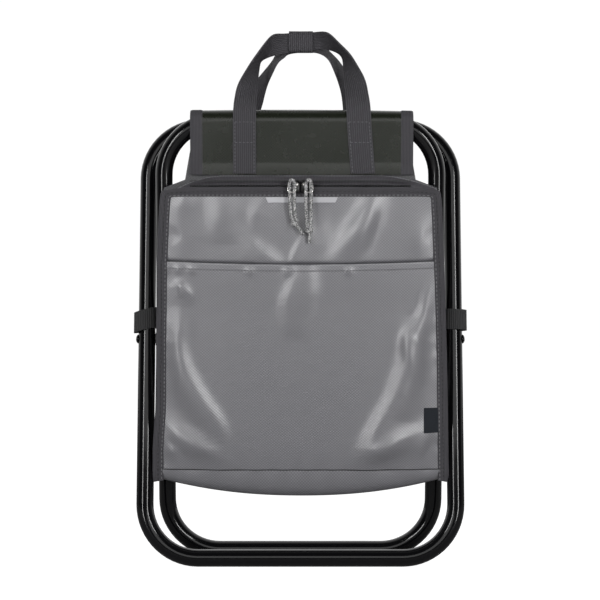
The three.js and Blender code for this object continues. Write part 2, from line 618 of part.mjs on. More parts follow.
// A side gusset is a V that folds inwards between the bag's front and back.
function gusset(side) {
  const rear = BACK_FOAM_REAR;
  const front = FRONT_FOAM_FRONT;
  const middle = (rear + front) / 2;
  const top = BAG_TOP - BAG_CORNER_DROP - LAYER_GAP;
  const rings = [BAG_SEAM, 0, top].map((z) => {
    const edge = bagHalf(z) - LAYER_GAP;
    const section = [
      [edge, rear], [edge - GUSSET_FOLD, middle], [edge, front],
      [edge - GUSSET_CLOTH, front], [edge - GUSSET_FOLD - GUSSET_CLOTH, middle],
      [edge - GUSSET_CLOTH, rear],
    ];
    return section.map(([x, y]) => new THREE.Vector3(side * x, y, z));
  });
  return loft(rings, (p) => new THREE.Vector2(p.x, p.y));
}
add(innerFrame, 'bag_gusset_left', gusset(-1), TAPE);
add(innerFrame, 'bag_gusset_right', gusset(1), TAPE);

// The bag's bottom hangs below the seam as a trough, deepest in the middle.
const troughRear = BACK_FOAM_REAR;
const troughFront = BINDING_FRONT;
function troughArc(sag, inset) {
  const middle = (troughRear + troughFront) / 2;
  const halfDepth = (troughRear - troughFront) / 2 - inset;
  return Array.from({ length: BOTTOM_ARC_STEPS + 1 }, (_, k) => {
    const angle = (k / BOTTOM_ARC_STEPS) * Math.PI;
    return [middle + halfDepth * Math.cos(angle), -(sag - inset) * Math.sin(angle)];
  });
}

function troughRings(halfLength, section) {
  return Array.from({ length: BOTTOM_STATIONS + 1 }, (_, k) => {
    const along = (2 * k) / BOTTOM_STATIONS - 1;
    const sag = THREE.MathUtils.lerp(BOTTOM_SAG_MIDDLE, BOTTOM_SAG_END, along * along);
    return section(sag).map(([y, z]) => new THREE.Vector3(along * halfLength, y, BAG_SEAM - LAYER_GAP + z));
  });
}
const flattenYZ = (p) => new THREE.Vector2(p.y, p.z);
const troughSkin = (sag) => [...troughArc(sag, 0), ...troughArc(sag, FRONT_CLOTH).reverse()];
const bottomPanel = loft(troughRings(BAG_HALF_SEAM - LAYER_GAP, troughSkin), flattenYZ);
add(innerFrame, 'bag_bottom_panel', bottomPanel, GREY_TARP);
const troughFill = (sag) => troughArc(sag, FRONT_CLOTH + LAYER_GAP);
const bottomFoam = loft(troughRings(BAG_HALF_SEAM - FOAM_INSET, troughFill), flattenYZ);
add(innerFrame, 'bag_bottom_foam', bottomFoam, WHITE_FOAM);

// The zip runs between the front binding's top edge and the top strip.
const tapeFront = BINDING_FRONT + LAYER_GAP;
const coilFront = tapeFront + ZIP_TAPE_WIDTH + LAYER_GAP;
const rearTapeFront = coilFront + ZIP_COIL_WIDTH + LAYER_GAP;
const stripFront = rearTapeFront + ZIP_TAPE_WIDTH + LAYER_GAP;
const tapeTop = BAG_TOP + LAYER_GAP + ZIP_TAPE_THICKNESS;
function zipTape(front) {
  const rear = front + ZIP_TAPE_WIDTH;
  return box(-ZIP_HALF_LENGTH, ZIP_HALF_LENGTH, front, rear, tapeTop - ZIP_TAPE_THICKNESS, tapeTop);
}
add(innerFrame, 'zip_tape_front', zipTape(tapeFront), BLACK_WEB);
add(innerFrame, 'zip_tape_rear', zipTape(rearTapeFront), BLACK_WEB);
const coilBottom = BAG_TOP + LAYER_GAP;
const coilTop = coilBottom + ZIP_COIL_HEIGHT;
const coil = box(
  -ZIP_HALF_LENGTH, ZIP_HALF_LENGTH, coilFront, coilFront + ZIP_COIL_WIDTH, coilBottom, coilTop,
);
add(innerFrame, 'zip_coil', coil, BLACK_PLASTIC);

// The top strip rises from the zip to the bag's back and slopes down at both ends.
const stripRear = BACK_PANEL_FRONT - LAYER_GAP;
function stripRing(x, drop, rimDrop) {
  const rim = BAG_TOP + RIM_RISE - rimDrop;
  return [
    new THREE.Vector3(x, stripFront, tapeTop - ZIP_TAPE_THICKNESS - drop),
    new THREE.Vector3(x, stripRear, rim - BAG_CLOTH),
    new THREE.Vector3(x, stripRear, rim),
    new THREE.Vector3(x, stripFront, tapeTop - drop),
  ];
}
const stripHalf = BAG_HALF_TOP - LAYER_GAP;
const topStrip = loft([
  stripRing(-stripHalf, BAG_CORNER_DROP, RIM_CORNER_DROP), stripRing(-BAG_CORNER_START, 0, 0),
  stripRing(BAG_CORNER_START, 0, 0), stripRing(stripHalf, BAG_CORNER_DROP, RIM_CORNER_DROP),
], flattenYZ);
add(innerFrame, 'bag_top_strip', topStrip, TAPE);

// A slider straddles the coil and carries a lug for its wire bail.
const sliderMiddle = coilFront + ZIP_COIL_WIDTH / 2;
const sliderFront = sliderMiddle - SLIDER_WIDTH / 2;
const sliderBottom = tapeTop + LAYER_GAP;
const sliderTop = sliderBottom + SLIDER_HEIGHT;
const bailY = sliderFront - LUG_HOLE / 2;
const bailZ = sliderTop + LUG_HOLE / 2 + LUG_WALL;
function slider() {
  const half = SLIDER_LENGTH / 2;
  const body = box(-half, half, sliderFront, sliderFront + SLIDER_WIDTH, sliderBottom, sliderTop);
  const channel = box(
    -SLIDER_LENGTH, SLIDER_LENGTH, coilFront - FIT, coilFront + ZIP_COIL_WIDTH + FIT,
    sliderBottom - SLIDER_HEIGHT, coilTop + FIT,
  );
  const reach = LUG_HOLE / 2 + LUG_WALL;
  const lugSection = outline([
    [bailY - reach, bailZ - reach], [sliderMiddle, sliderTop - LUG_WALL], [sliderMiddle, bailZ + reach],
    [bailY - reach, bailZ + reach],
  ]);
  const lug = slabAlongX(lugSection, -LUG_WIDTH / 2, LUG_WIDTH / 2);
  const hole = box(
    -SLIDER_LENGTH, SLIDER_LENGTH, bailY - LUG_HOLE / 2, bailY + LUG_HOLE / 2,
    bailZ - LUG_HOLE / 2, bailZ + LUG_HOLE / 2,
  );
  return cut(join(body, lug), channel, hole);
}

// The wire bail hangs from the lug; its frame starts at its hinge bar.
function bail() {
  const half = BAIL_WIRE / 2;
  const inner = BAIL_HALF_WIDTH - BAIL_WIRE;
  const frame = outline([
    [-BAIL_HALF_WIDTH, half], [-BAIL_HALF_WIDTH, -BAIL_LENGTH - half],
    [BAIL_HALF_WIDTH, -BAIL_LENGTH - half], [BAIL_HALF_WIDTH, half],
  ]);
  frame.holes.push(new THREE.Path([
    new THREE.Vector2(-inner, -half), new THREE.Vector2(inner, -half),
    new THREE.Vector2(inner, half - BAIL_LENGTH), new THREE.Vector2(-inner, half - BAIL_LENGTH),
  ]));
  return slabAlongY(frame, half, -half);
}

function cordTube(points) {
  const path = new THREE.CatmullRomCurve3(points.map((p) => new THREE.Vector3(...p)));
  const section = new THREE.Shape(polygonPoints(CORD_DIAMETER / 2, CORD_SIDES, 0));
  return new THREE.ExtrudeGeometry(section, { steps: CORD_STEPS, extrudePath: path });
}

// Each pull is a doubled cord that meets in a knot and ends in a short tail.
const cordY = bailY + BAIL_LENGTH * Math.sin(BAIL_TILT);
const bailDrop = (BAIL_LENGTH + BAIL_WIRE / 2) * Math.cos(BAIL_TILT) - (BAIL_WIRE / 2) * Math.sin(BAIL_TILT);
const cordTop = bailZ - bailDrop - LAYER_GAP;
function cordPull(slide, knot, tail) {
  const strands = [-1, 1].map((side) => cordTube([
    [slide + side * STRAND_SPREAD, cordY, cordTop],
    [(slide + knot[0]) / 2 + side * STRAND_BOW, cordY, (cordTop + knot[1]) / 2],
    [knot[0] + side * STRAND_AT_KNOT, cordY, knot[1]],
  ]));
  const ball = new THREE.SphereGeometry(KNOT_DIAMETER / 2, CORD_SIDES + 2, CORD_SIDES - 2);
  ball.translate(knot[0], cordY, knot[1]);
  const end = cordTube([
    [knot[0], cordY, knot[1]],
    [(knot[0] + tail[0]) / 2, cordY, (knot[1] + tail[1]) / 2],
    [tail[0], cordY, tail[1]],
  ]);
  return join(...strands, ball, end);
}

// The knot and the tail's end are given by their places across the bag and below the zip line.
const pulls = [
  { side: 'left', slide: -SLIDER_OFFSET, knot: [-4.6, BAG_TOP - 45], tail: [2.4, BAG_TOP - 53] },
  { side: 'right', slide: SLIDER_OFFSET, knot: [7.6, BAG_TOP - 49.5], tail: [10.6, BAG_TOP - 62.5] },
];
for (const { side, slide, knot, tail } of pulls) {
  const sliderPlace = new THREE.Group();
  sliderPlace.position.x = slide;
  innerFrame.add(sliderPlace);
  add(sliderPlace, `zip_slider_${side}`, slider(), STEEL);
  const bailPlace = new THREE.Group();
  bailPlace.position.set(slide, bailY, bailZ);
  bailPlace.rotation.x = BAIL_TILT;
  innerFrame.add(bailPlace);
  add(bailPlace, `zip_bail_${side}`, bail(), STEEL);
  add(innerFrame, `zip_cord_${side}`, cordPull(slide, knot, tail), CORD);
}

// Trim on the bag's front
const tabTop = bindingBottom - TAB_BELOW_BINDING;
const tabOutline = outline([
  [TAB_HALF_TOP, tabTop], [TAB_HALF_BOTTOM, tabTop - TAB_HEIGHT],
  [-TAB_HALF_BOTTOM, tabTop - TAB_HEIGHT], [-TAB_HALF_TOP, tabTop],
]);
add(innerFrame, 'front_tab', slabAlongY(tabOutline, POCKET_REAR, POCKET_REAR - TRIM_THICKNESS), LIGHT_TAB);
const labelTop = BAG_SEAM + LABEL_ABOVE_SEAM;
const labelRight = bagHalf(labelTop) - pocketInset;
const labelRear = POCKET_FRONT - LAYER_GAP;
const label = box(
  labelRight - LABEL_WIDTH, labelRight, labelRear - TRIM_THICKNESS, labelRear,
  labelTop - LABEL_HEIGHT, labelTop,
);
add(innerFrame, 'side_label', label, NAVY_LABEL);

// A side strap clasps the outer loop's side tube just above the pivot.
function strap() {
  const inside = TUBE_CORNER + FIT;
  const outside = inside + STRAP_THICKNESS;
  const shape = new THREE.Shape();
  shape.absarc(0, 0, outside, -STRAP_WRAP, STRAP_WRAP, false);
  shape.absarc(0, 0, inside, STRAP_WRAP, -STRAP_WRAP, true);
  const options = { depth: STRAP_WIDTH, bevelEnabled: false, curveSegments: ARC_STEPS };
  return new THREE.ExtrudeGeometry(shape, options);
}
for (const [side, turn, x] of [['right', 0, OUTER_HALF], ['left', Math.PI, -OUTER_HALF]]) {
  const place = add(outerFrame, `side_strap_${side}`, strap(), BLACK_WEB);
  place.position.set(x, 0, STRAP_ABOVE_PIVOT);
  place.rotation.z = turn;
}

export default stool;
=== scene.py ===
"""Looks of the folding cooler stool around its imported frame.

Lengths are in millimetres until a mesh is made.
"""
import json
import math
from collections import namedtuple

import bpy
import numpy as np
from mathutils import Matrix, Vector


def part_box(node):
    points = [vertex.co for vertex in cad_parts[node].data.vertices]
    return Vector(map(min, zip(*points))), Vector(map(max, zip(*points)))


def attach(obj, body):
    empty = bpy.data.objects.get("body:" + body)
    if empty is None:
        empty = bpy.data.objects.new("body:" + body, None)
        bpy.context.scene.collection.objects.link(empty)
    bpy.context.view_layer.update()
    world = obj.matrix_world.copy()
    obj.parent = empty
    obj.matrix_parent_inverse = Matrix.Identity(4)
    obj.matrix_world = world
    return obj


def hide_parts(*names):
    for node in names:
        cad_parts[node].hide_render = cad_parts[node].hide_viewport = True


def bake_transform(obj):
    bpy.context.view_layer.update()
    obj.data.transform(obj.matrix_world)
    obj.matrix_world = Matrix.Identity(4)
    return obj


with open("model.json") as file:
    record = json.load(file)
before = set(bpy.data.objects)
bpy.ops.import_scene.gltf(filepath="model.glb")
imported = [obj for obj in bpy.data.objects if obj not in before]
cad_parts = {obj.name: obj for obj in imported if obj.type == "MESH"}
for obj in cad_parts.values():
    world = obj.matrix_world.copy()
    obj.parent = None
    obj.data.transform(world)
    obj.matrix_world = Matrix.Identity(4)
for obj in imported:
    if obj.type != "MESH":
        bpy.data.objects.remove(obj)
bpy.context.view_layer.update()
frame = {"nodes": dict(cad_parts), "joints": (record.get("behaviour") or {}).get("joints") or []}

MM = 0.001
SIDES = (("left", -1), ("right", 1))
HINGES = {joint["name"]: np.array(joint["pos_m"]) / MM for joint in frame["joints"] if "pos_m" in joint}
PIVOT = HINGES["inner_fold"]
FRONT_RAIL = HINGES["seat_front_swing"]
REAR_RAIL = HINGES["seat_rear_swing"]
FRONT_FOOT = HINGES["front_handle_swing"]
REAR_FOOT = HINGES["rear_handle_swing"]

# Values called RAMP: where the change starts, over what length it runs and, if given, its curve's power

# Frame loops and pivots
TUBE_RADIUS = 9
OUTER_HALF = 162.5
INNER_HALF = 142.5
BEND_RADIUS = 56
RIVET_DOME = np.linspace(0.12, 1.45, 7)
RIVET_SHANK = 0.5

# Cloth, tape and thread
CLOTH = 1.0
BAG_CLOTH = 1.2
WEAVE_ACROSS = 3.2
WEAVE_UP = 2.87
WEAVE_DEPTH = 0.055
NOISE_RANGE = (0.3, 0.7)
TAPE_COLUMNS = 9
STITCH_SHAPE = np.array([0.15, 0.42, 0.5, 0.42, 0.15])

# Seat cloth over the rails
CLOTH_RADIUS_LEFT = 10.7
CLOTH_RADIUS_RIGHT = 10.0
CLOTH_BULGE = 1.2
SEAT_HALF_WIDTH = 115
SEAT_SHIFT = 1.4
SEAT_INSET = 1.5
SEAT_WAVE = 0.8
SEAT_WAVE_LENGTH = 40
FLAP_DROP = 55
FLAP_FLARE = 3.0
FLAP_FLARE_RAMP = (43, FLAP_DROP - 43, 1.2)
FLAP_RIPPLE = 0.5
FLAP_RIPPLE_ACROSS = 19
FLAP_RIPPLE_DOWN = 30
FLAP_RIPPLE_RAMP = (0, 40)
UNDERLAP = 0.9
UNDERLAP_RAMP = (-110, 20)
FRONT_BEND = (-6, 10.2)
REAR_FLAP_BEND = 9.5
REAR_SEAT_BEND = -10.0
SEAT_BINDING_WIDTH = 12.2
SEAT_BINDING_OVERHANG = 0.6
SEAT_BINDING_THICK = 2.2
SEAT_BINDING_THIN = 0.9
CREASE_GAP = 0.8
CREASE_BELOW_RAIL = 118

# Turns of the seat cloth over a rail, in degrees from straight back
OVER_FRONT_RAIL = np.linspace(180, 0, 22)[1:-1, None]
OVER_REAR_RAIL = np.linspace(0, 90, 14)[1:, None]
UNDER_REAR_FLAP = np.linspace(60, 180, 18)[:-1, None]

# Webbing handles
WEB_WIDTH = 25
WEB_THICKNESS = 1.6
WEB_COLUMNS = 9
WEB_SMOOTHING = 24
LEAN_RAMP = (9, 63)
TWIST_RAMP = (18, 30)
TWIST_FORWARD = 0.34
GRIP_RAMP = (14, 16)
PARTING = 1.7
WEB_FOOT_OUT = 1.2
FOOT_BEND = (-3, 7)
FOOT_SMOOTHING = 4
ROWS_BELOW_FOOT = 2
ROWS_ABOVE_FOOT = 8
TAB_ROWS = 12
TAB_INSET = 1.2
TAB_GAP = 0.15
FRONT_TAB_SLANT = 4.5
BOX_TOP = 0.6
BOX_LOW = 21.5
BOX_INSET = 2
BOX_PROUD = 0.3

# Grip band round the two handles
WRAP_HALF_LENGTH = 12.7
WRAP_MIDDLE = 0.6
WRAP_LOW = 540.2
WRAP_HIGH = 560.4
WRAP_HALF_DEPTH = 4.6
WRAP_THICKNESS = 1.4
WRAP_CORNER = 3.2
WRAP_OVERLAP = 6
WRAP_LIFT = 1.4
WRAP_BELLY = 0.5 * np.cos(np.linspace(-1.4, 1.4, 13))

# Bag, in the inner loop's plane
BAG_SHIFT = 1.6
LEFT_EDGE_LEVELS = (-140, -110, -70, -14, 36, 86, 168)
LEFT_EDGE_WIDER = (2.6, 2.8, 0.8, 0.9, 2.0, 3.4, 2.6)
BAG_TOP = 168
BAG_SEAM = -133
BAG_HALF_TOP = 142
BAG_HALF_PIVOT = 149.5
BAG_HALF_SEAM = 152
FRONT_PLANE = -36.1
POCKET_PLANE = -37.7
BACK_PLANE = -10.2
BAG_HALF_DEPTH = (BACK_PLANE - POCKET_PLANE) / 2
BAG_BEND = (-11.5, -33)
ACROSS = np.linspace(-1, 1, 201)[None, :]
CLOTH_INSET = 2
CROWN = 8
CROWN_LEVEL = -95
CROWN_AT_SEAM = 0.75
FOLD_GAIN = 0.367
RIDGE_AT = 0.707

# What a seam leaves of a fold: the least share, where the share starts to grow, and over what length
SIDE_HOLD = (0.4, 6, 22)
SEAM_HOLD = (0.3, 0, 28)

# Gathers along a sewn edge: height, reach from the edge, pitch and drift
SIDE_GATHERS = (0.7, 26, 3.9, 17)
TOP_GATHERS = (0.6, 34, 4.6, 23)
SEAM_GATHERS = (0.5, 22, 5.2, 29)
BOTTOM_GATHERS = (0.9, 22, 5.2, 29)
HEM_PUCKERS = (-137, -124, -110, -52, -15, 48)
PUCKER_WIDTH = 4.5
PUCKER_HEIGHT = 1.5

# Pocket and its hem
POCKET_TOP = 86
POCKET_SAG = 3.2
POCKET_INSET = 1.5
HIDDEN_PANEL = 14
GAPE = 1.4
GAPE_RAMP = (30, 50)
GROOVE = 4.5
GROOVE_BELOW = 0.5
GROOVE_WIDTH = 2.2
HEM_HEIGHT = 6.5
HEM_OVER = 0.8
HEM_PROUD = 0.2
HEM_STITCH_INSET = 8
HEM_STITCH_UP = 0.4
HEM_STITCH_PROUD = 1.3

# Top edge, binding and patches
ZIP_HALF = 113
TOP_CORNER_LEVEL = 148
TOP_CORNER_DROP = 8
TOP_CORNER_RAMP = (ZIP_HALF, 29, 1.4)
BINDING_TOP = 162.6
BINDING_FOOT = 152.8
BINDING_PROUD = 0.6
BINDING_STITCH = 0.5
BINDING_EDGE_STITCH = 0.84
BINDING_STITCH_PROUD = 2.0
POCKET_STEP = 2
TAB_LOW = 146.8
TAB_HEIGHT = 5.4
TAB_HALF = 34.2
TAB_FLARE = 2.4
TAB_PROUD = 1.3
LABEL_UP = np.linspace(-92, -66, 16)[:, None]
LABEL_ACROSS = np.linspace(126.6, 142, 12)[None, :]
LABEL_PROUD = 1.1

# Bottom, side walls, rim and hanger
BOTTOM_ACROSS = np.linspace(3 - BAG_HALF_SEAM, BAG_HALF_SEAM - 3, 121)[None, :]
BOTTOM_TURN = np.linspace(0, math.pi, 36)[:, None]
BOTTOM_LOWEST = -162
BOTTOM_RISE = 13
BOTTOM_RISE_AT = 124
BOTTOM_LAP = 1.5
GATHER_FADE = 3
BOTTOM_CLOTH = 1.4
SEAM_SHADOW_UP = 1.8
SEAM_SHADOW_RADIUS = 0.55
PAD_SHARE = 0.945
PAD_INSET = 2.2
PAD_BELOW = 1
PAD_ABOVE_BOTTOM = 3
PAD_THICKNESS = 2.6
WALL_DEPTH = 11.5
WALL_ROUND = 0.32
WALL_BELOW_TOP = 14
WALL_INSET = 3.2
WALL_SUNK = 5.0
WALL_WAVE = 0.5
WALL_WAVE_LENGTH = 6
WALL_BACK = 1.5
WALL_FRONT = 2.5
RIM_SECTION = [
    (-33.4, 164.8), (-31.8, 166.2), (-28, 168.6), (-22, 170.8), (-15, 172.2), (-11.2, 171.6), (-9.9, 168),
]
RIM_DROP_LEFT = 22
RIM_DROP_RIGHT = 15
RIM_DROP_RAMP = (80, 62, 1.8)
RIM_WAVE = 0.5
RIM_WAVE_PITCH = 9
RIM_WAVE_DRIFT = 21
RIM_WAVE_MIDDLE = -22
RIM_WAVE_REACH = 11
# Thin lighter tube along the rim's top edge, a painted highlight
RIM_HIGHLIGHT_RADIUS = 0.8
RIM_HIGHLIGHT_FORWARD = 1
HANGER_HALF_TOP = 110
HANGER_FLARE = 12
HANGER_BELOW_RAIL = 6
HANGER_LOW = 157
HANGER_PLANE = -9.9
HANGER_CLOTH = 0.9

# Zip, sliders and cord pulls
ZIP_PITCH = 1.5
ZIP_STEPS = 1800
ZIP_PLANE = -36.6
ZIP_LEVEL = 163.6
COIL_RADIUS = 0.9
COIL_WIRE = 0.42
SLIDER_OUT = 2.4
SLIDER_IN = 8.2
SLIDER_BACK_INSET = 1
BRIDGE_HALF = 1.3
# Blocks of a slider: out and up of the lower and of the higher corner, then the bevel
SLIDER_FRONT = ((-42.6, 156.6), (-38, 167.4), 1.0)
SLIDER_BACK = ((-34.3, 163.5), (-33.0, 169.5), 0.5)
SLIDER_BRIDGE = ((-37.8, 167), (-34.0, 169.2), 0.4)
NOSE_PLACE = (7.4, -42.4, 165.4)
NOSE_PROFILE = [(0, 0.3), (0.5, 1.3), (1.5, 1.9), (3.5, 1.9), (4.2, 0.6)]
BAIL = [
    (-2.4, 169.6), (-3.6, 166), (-4.1, 161), (-3.4, 158.4), (0, 157.6), (3.4, 158.4), (4.1, 161),
    (3.6, 166), (2.4, 169.6), (0, 170.6), (-2.4, 169.6),
]
BAIL_RADIUS = 0.65
BAIL_TOP_PLANE = -42
BAIL_PROUD = 1.4
CORD_RADIUS = 1.8
CORD_PLANE = -44.8
KNOT_TURN = np.linspace(0, 4 * math.pi, 60)
KNOT_HALF_WIDTH = 2.3
KNOT_HALF_DEPTH = 2.1
KNOT_HALF_HEIGHT = 2.0
KNOT_SWAY = 0.4
HITCH = [(-2.1, 167.4), (-1.6, 169.6), (0, 170.3), (1.6, 169.6), (2.1, 167.4)]
HITCH_RADIUS = 0.9 * CORD_RADIUS
# Each pull: its place across, its two strands and its tail, across and up
PULLS = {
    "left": (-8.7, [(-11.1, 168), (-10.3, 142), (-8.2, 128.5)], [(-6.3, 168), (-6.0, 142), (-4.4, 128.5)],
             [(-5.6, 126.5), (-1.5, 120.5), (3.2, 114.6)]),
    "right": (8.7, [(5.6, 168), (5.9, 142), (7.0, 121.5)], [(10.7, 168), (11.1, 142), (10.3, 121.5)],
              [(8.8, 119.5), (9.4, 112.5), (9.3, 105.8)]),
}

# Side straps round the outer loop
STRAP_UP = np.linspace(9.5, 31, 9)[:, None]
STRAP_TURN = np.linspace(-160, 175, 60)[None, :]
STRAP_SLANT = {"left": 0.26, "right": 0.04}
STRAP_THICKNESS = 1.3
STRAP_GAP = 1.6
STRAP_BOW = 2.8
STRAP_BOW_AT = -18
STRAP_BOW_SPREAD = 48
STRAP_BEHIND = 0.95

# Studio; places and sizes are in metres
CAMERA_PLACE = (-0.0004, -1.572, 0.2776)
CAMERA_LENS = 90.6
CAMERA_SENSOR = 36
WORLD_LEVEL = 0.15
BACKDROP_LEVEL = 1.02
FLOOR_SIDE = 6.0
FLOOR_COLOR = (0.6, 0.6, 0.6, 1)
FLOOR_GLOW = 0.95
WHITE = (1, 1, 1, 1)
LIGHT_TARGET = (0, 0, 0.25)
# Each light: name, place, width and height, power
LIGHTS = (
    ("left", (-1.15, -1.84, 0.58), (0.2, 1.2), 18),
    ("right", (1.2, -1.8, 0.58), (0.2, 1.2), 21),
    ("front", (0, -1.95, 0.82), (2.4, 0.8), 12),
    ("back", (0, 2.0, 1.7), (3.6, 2.0), 7),
)

# Folds of the bag's cloth: steepness, width of the near slope, width of the far slope, and the line
# across and up of the near slope's middle. The ridge lies on the right hand of the line, or on its
# left hand if the near width is below 0.
POCKET_FOLDS = [
    (1.5, 6, 16, [(-140, 57), (-128, 63), (-121, 65), (-114, 60), (-110, 51), (-112, 38)]),
    (1.5, 11, 18, [(-120, 58), (-116, 24), (-119, 2), (-113, -24), (-96, -55), (-81, -77), (-72, -100),
                   (-73, -140)]),
    (1.6, 10, 14, [(-160, -60), (-128, -85), (-104, -98), (-82, -113), (-58, -138)]),
    (1.7, 6, 9, [(-150, -88), (-132, -106), (-125, -115), (-119, -138)]),
    (0.95, -9, 14, [(0, 96), (-12, 64), (-19, 40), (-16, 2)]),
    (0.85, 9, 12, [(12, 98), (16, 62), (12, 40), (2, 6)]),
    (1.5, -8, 14, [(148, 96), (129, 58), (124, 36), (112, 2)]),
    (1.4, -8, 24, [(134, 50), (111, 20), (106, 6), (109, -14), (122, -46)]),
    (0.8, 14, 14, [(124, 30), (121, -24), (112, -80)]),
    (1.4, -13, 26, [(114, 14), (92, -48), (76, -80), (62, -106), (48, -142)]),
    (1.6, -10, 16, [(156, -74), (106, -91), (84, -102), (68, -114), (44, -140)]),
    (1.0, 6, 9, [(150, -78), (132, -106), (128, -118), (128, -146)]),
]
PANEL_FOLDS = [
    (0.9, -5, 16, [(-146, 130), (-130, 124), (-123, 116), (-125, 107), (-146, 88)]),
    (0.8, -8, 14, [(-110, 162), (-124, 150), (-146, 128)]),
    (0.65, -14, 20, [(-86, 164), (-89, 136), (-90, 104)]),
    (0.8, -10, 18, [(-28, 170), (-46, 144), (-51, 130), (-50, 96)]),
    (1.2, 9, 14, [(-64, 130), (-42, 104), (-28, 95), (0, 72)]),
    (1.0, -5, 9, [(8, 126), (-4, 104), (-10, 90), (-18, 68)]),
    (1.15, -13, 14, [(80, 172), (56, 134), (40, 109), (16, 68)]),
    (0.8, 10, 12, [(84, 176), (77, 132), (70, 104), (60, 66)]),
    (0.9, 7, 16, [(142, 154), (132, 126), (129, 112), (134, 102), (148, 90)]),
    (-0.5, -10, 10, [(13, 150), (12, 104)]),
]

Shape = namedtuple("Shape", "points faces uv")


def unit(vectors):
    return vectors / np.maximum(np.linalg.norm(vectors, axis=-1, keepdims=True), 1e-9)


def ramp(value, start, length, power=1.0):
    """From 0 at the start to 1 after the length, along a power's curve."""
    return np.clip((value - start) / length, 0, 1) ** power


def smooth(value, start, length):
    """From 0 at the start to 1 after the length, level at both ends."""
    part = ramp(value, start, length)
    return part * part * (3 - 2 * part)


class Plane:
    """A loop's plane from the pivot line: x to the right, y to its back, z up to its top rail."""

    def __init__(self, origin, top):
        self.origin = np.array(origin, float)
        self.reach = float(np.linalg.norm(top - origin))
        self.up = (top - origin) / self.reach
        self.right = np.array([1.0, 0.0, 0.0])
        self.back = np.cross(self.up, self.right)

    def at(self, x, y, z):
        x, y, z = np.broadcast_arrays(x, y, z)
        return self.origin + x[..., None] * self.right + y[..., None] * self.back + z[..., None] * self.up


INNER = Plane(PIVOT, FRONT_RAIL)
OUTER = Plane(PIVOT, REAR_RAIL)


# Shapes

def lengths(points, axis):
    """Mean distance from the start along one axis of a grid of points."""
    steps = np.linalg.norm(np.diff(points, axis=axis), axis=-1).mean(1 - axis)
    return np.concatenate([[0], np.cumsum(steps)])


def distances(path):
    """Distance of each point of a line from its start."""
    return np.concatenate([[0], np.cumsum(np.linalg.norm(np.diff(path, axis=0), axis=1))])


def caps(count, sides):
    """The two end faces of a row of rings."""
    return [list(range(sides))[::-1], list(range((count - 1) * sides, count * sides))]


def grid(rows, columns, close_rows=False, close_columns=False):
    """Corner numbers of a grid's quads, with the row and column of each corner."""
    row = np.arange(rows if close_rows else rows - 1)[:, None]
    column = np.arange(columns if close_columns else columns - 1)[None, :]
    row, column = (side.ravel() for side in np.broadcast_arrays(row, column))
    rows_of = np.stack([row, row, row + 1, row + 1], -1)
    columns_of = np.stack([column, column + 1, column + 1, column], -1)
    return rows_of % rows * columns + columns_of % columns, rows_of, columns_of


def sheet(surface, thickness):
    """A closed body of cloth about a grid of points."""
    rows, columns = surface.shape[:2]
    normal = unit(np.cross(np.gradient(surface, axis=1), np.gradient(surface, axis=0)))
    half = normal * np.broadcast_to(thickness, (rows, columns))[..., None] / 2
    points = np.concatenate([(surface + half).reshape(-1, 3), (surface - half).reshape(-1, 3)])
    quads = grid(rows, columns)[0]
    count = rows * columns
    index = np.arange(count).reshape(rows, columns)
    edge = np.concatenate([index[0, :-1], index[:-1, -1], index[-1, :0:-1], index[:0:-1, 0]])
    following = np.roll(edge, -1)
    rim = np.stack([following, edge, edge + count, following + count], -1)
    faces = np.concatenate([quads, quads[:, ::-1] + count, rim])
    flat = np.stack(np.meshgrid(lengths(surface, 1), lengths(surface, 0)), -1).reshape(-1, 2)
    return Shape(points, faces.tolist(), flat[faces % count].reshape(-1, 2))


def tube(path, radius, sides=16, closed=False, across=None):
    """A round rod along a line of points. The radius is one number or one for each point."""
    path = np.asarray(path, float)
    count = len(path)
    if closed:
        tangent = unit(np.roll(path, -1, 0) - np.roll(path, 1, 0))
    else:
        tangent = unit(np.gradient(path, axis=0))
    first = np.zeros_like(path)
    if across is None:
        across = np.eye(3)[np.argmin(np.abs(tangent[0]))]
    for i in range(count):
        start = across if i == 0 else first[i - 1]
        first[i] = unit(start - np.dot(start, tangent[i]) * tangent[i])
    second = np.cross(tangent, first)
    angle = np.linspace(0, 2 * math.pi, sides, endpoint=False)
    radius = np.broadcast_to(radius, count)[:, None, None]
    rings = path[:, None] + radius * (
        np.cos(angle)[None, :, None] * first[:, None] + np.sin(angle)[None, :, None] * second[:, None]
    )
    quads, rows_of, columns_of = grid(count, sides, closed, True)
    along = distances(np.concatenate([path, path[:1]]) if closed else path)
    around = np.arange(sides + 1) * (2 * math.pi * radius.max() / sides)
    uv = np.stack([around[columns_of], along[rows_of]], -1).reshape(-1, 2)
    faces = quads.tolist()
    if not closed:
        faces += caps(count, sides)
        cap = np.stack([np.cos(angle), np.sin(angle)], -1)
        uv = np.concatenate([uv, cap[::-1], cap])
    return Shape(rings.reshape(-1, 3), faces, uv)


def lathe(profile, centre, axis, sides=32):
    """A turned body: profile points are (distance along the axis, radius)."""
    profile = np.array(profile, float)
    return tube(centre + profile[:, :1] * np.array(axis, float), profile[:, 1], sides)


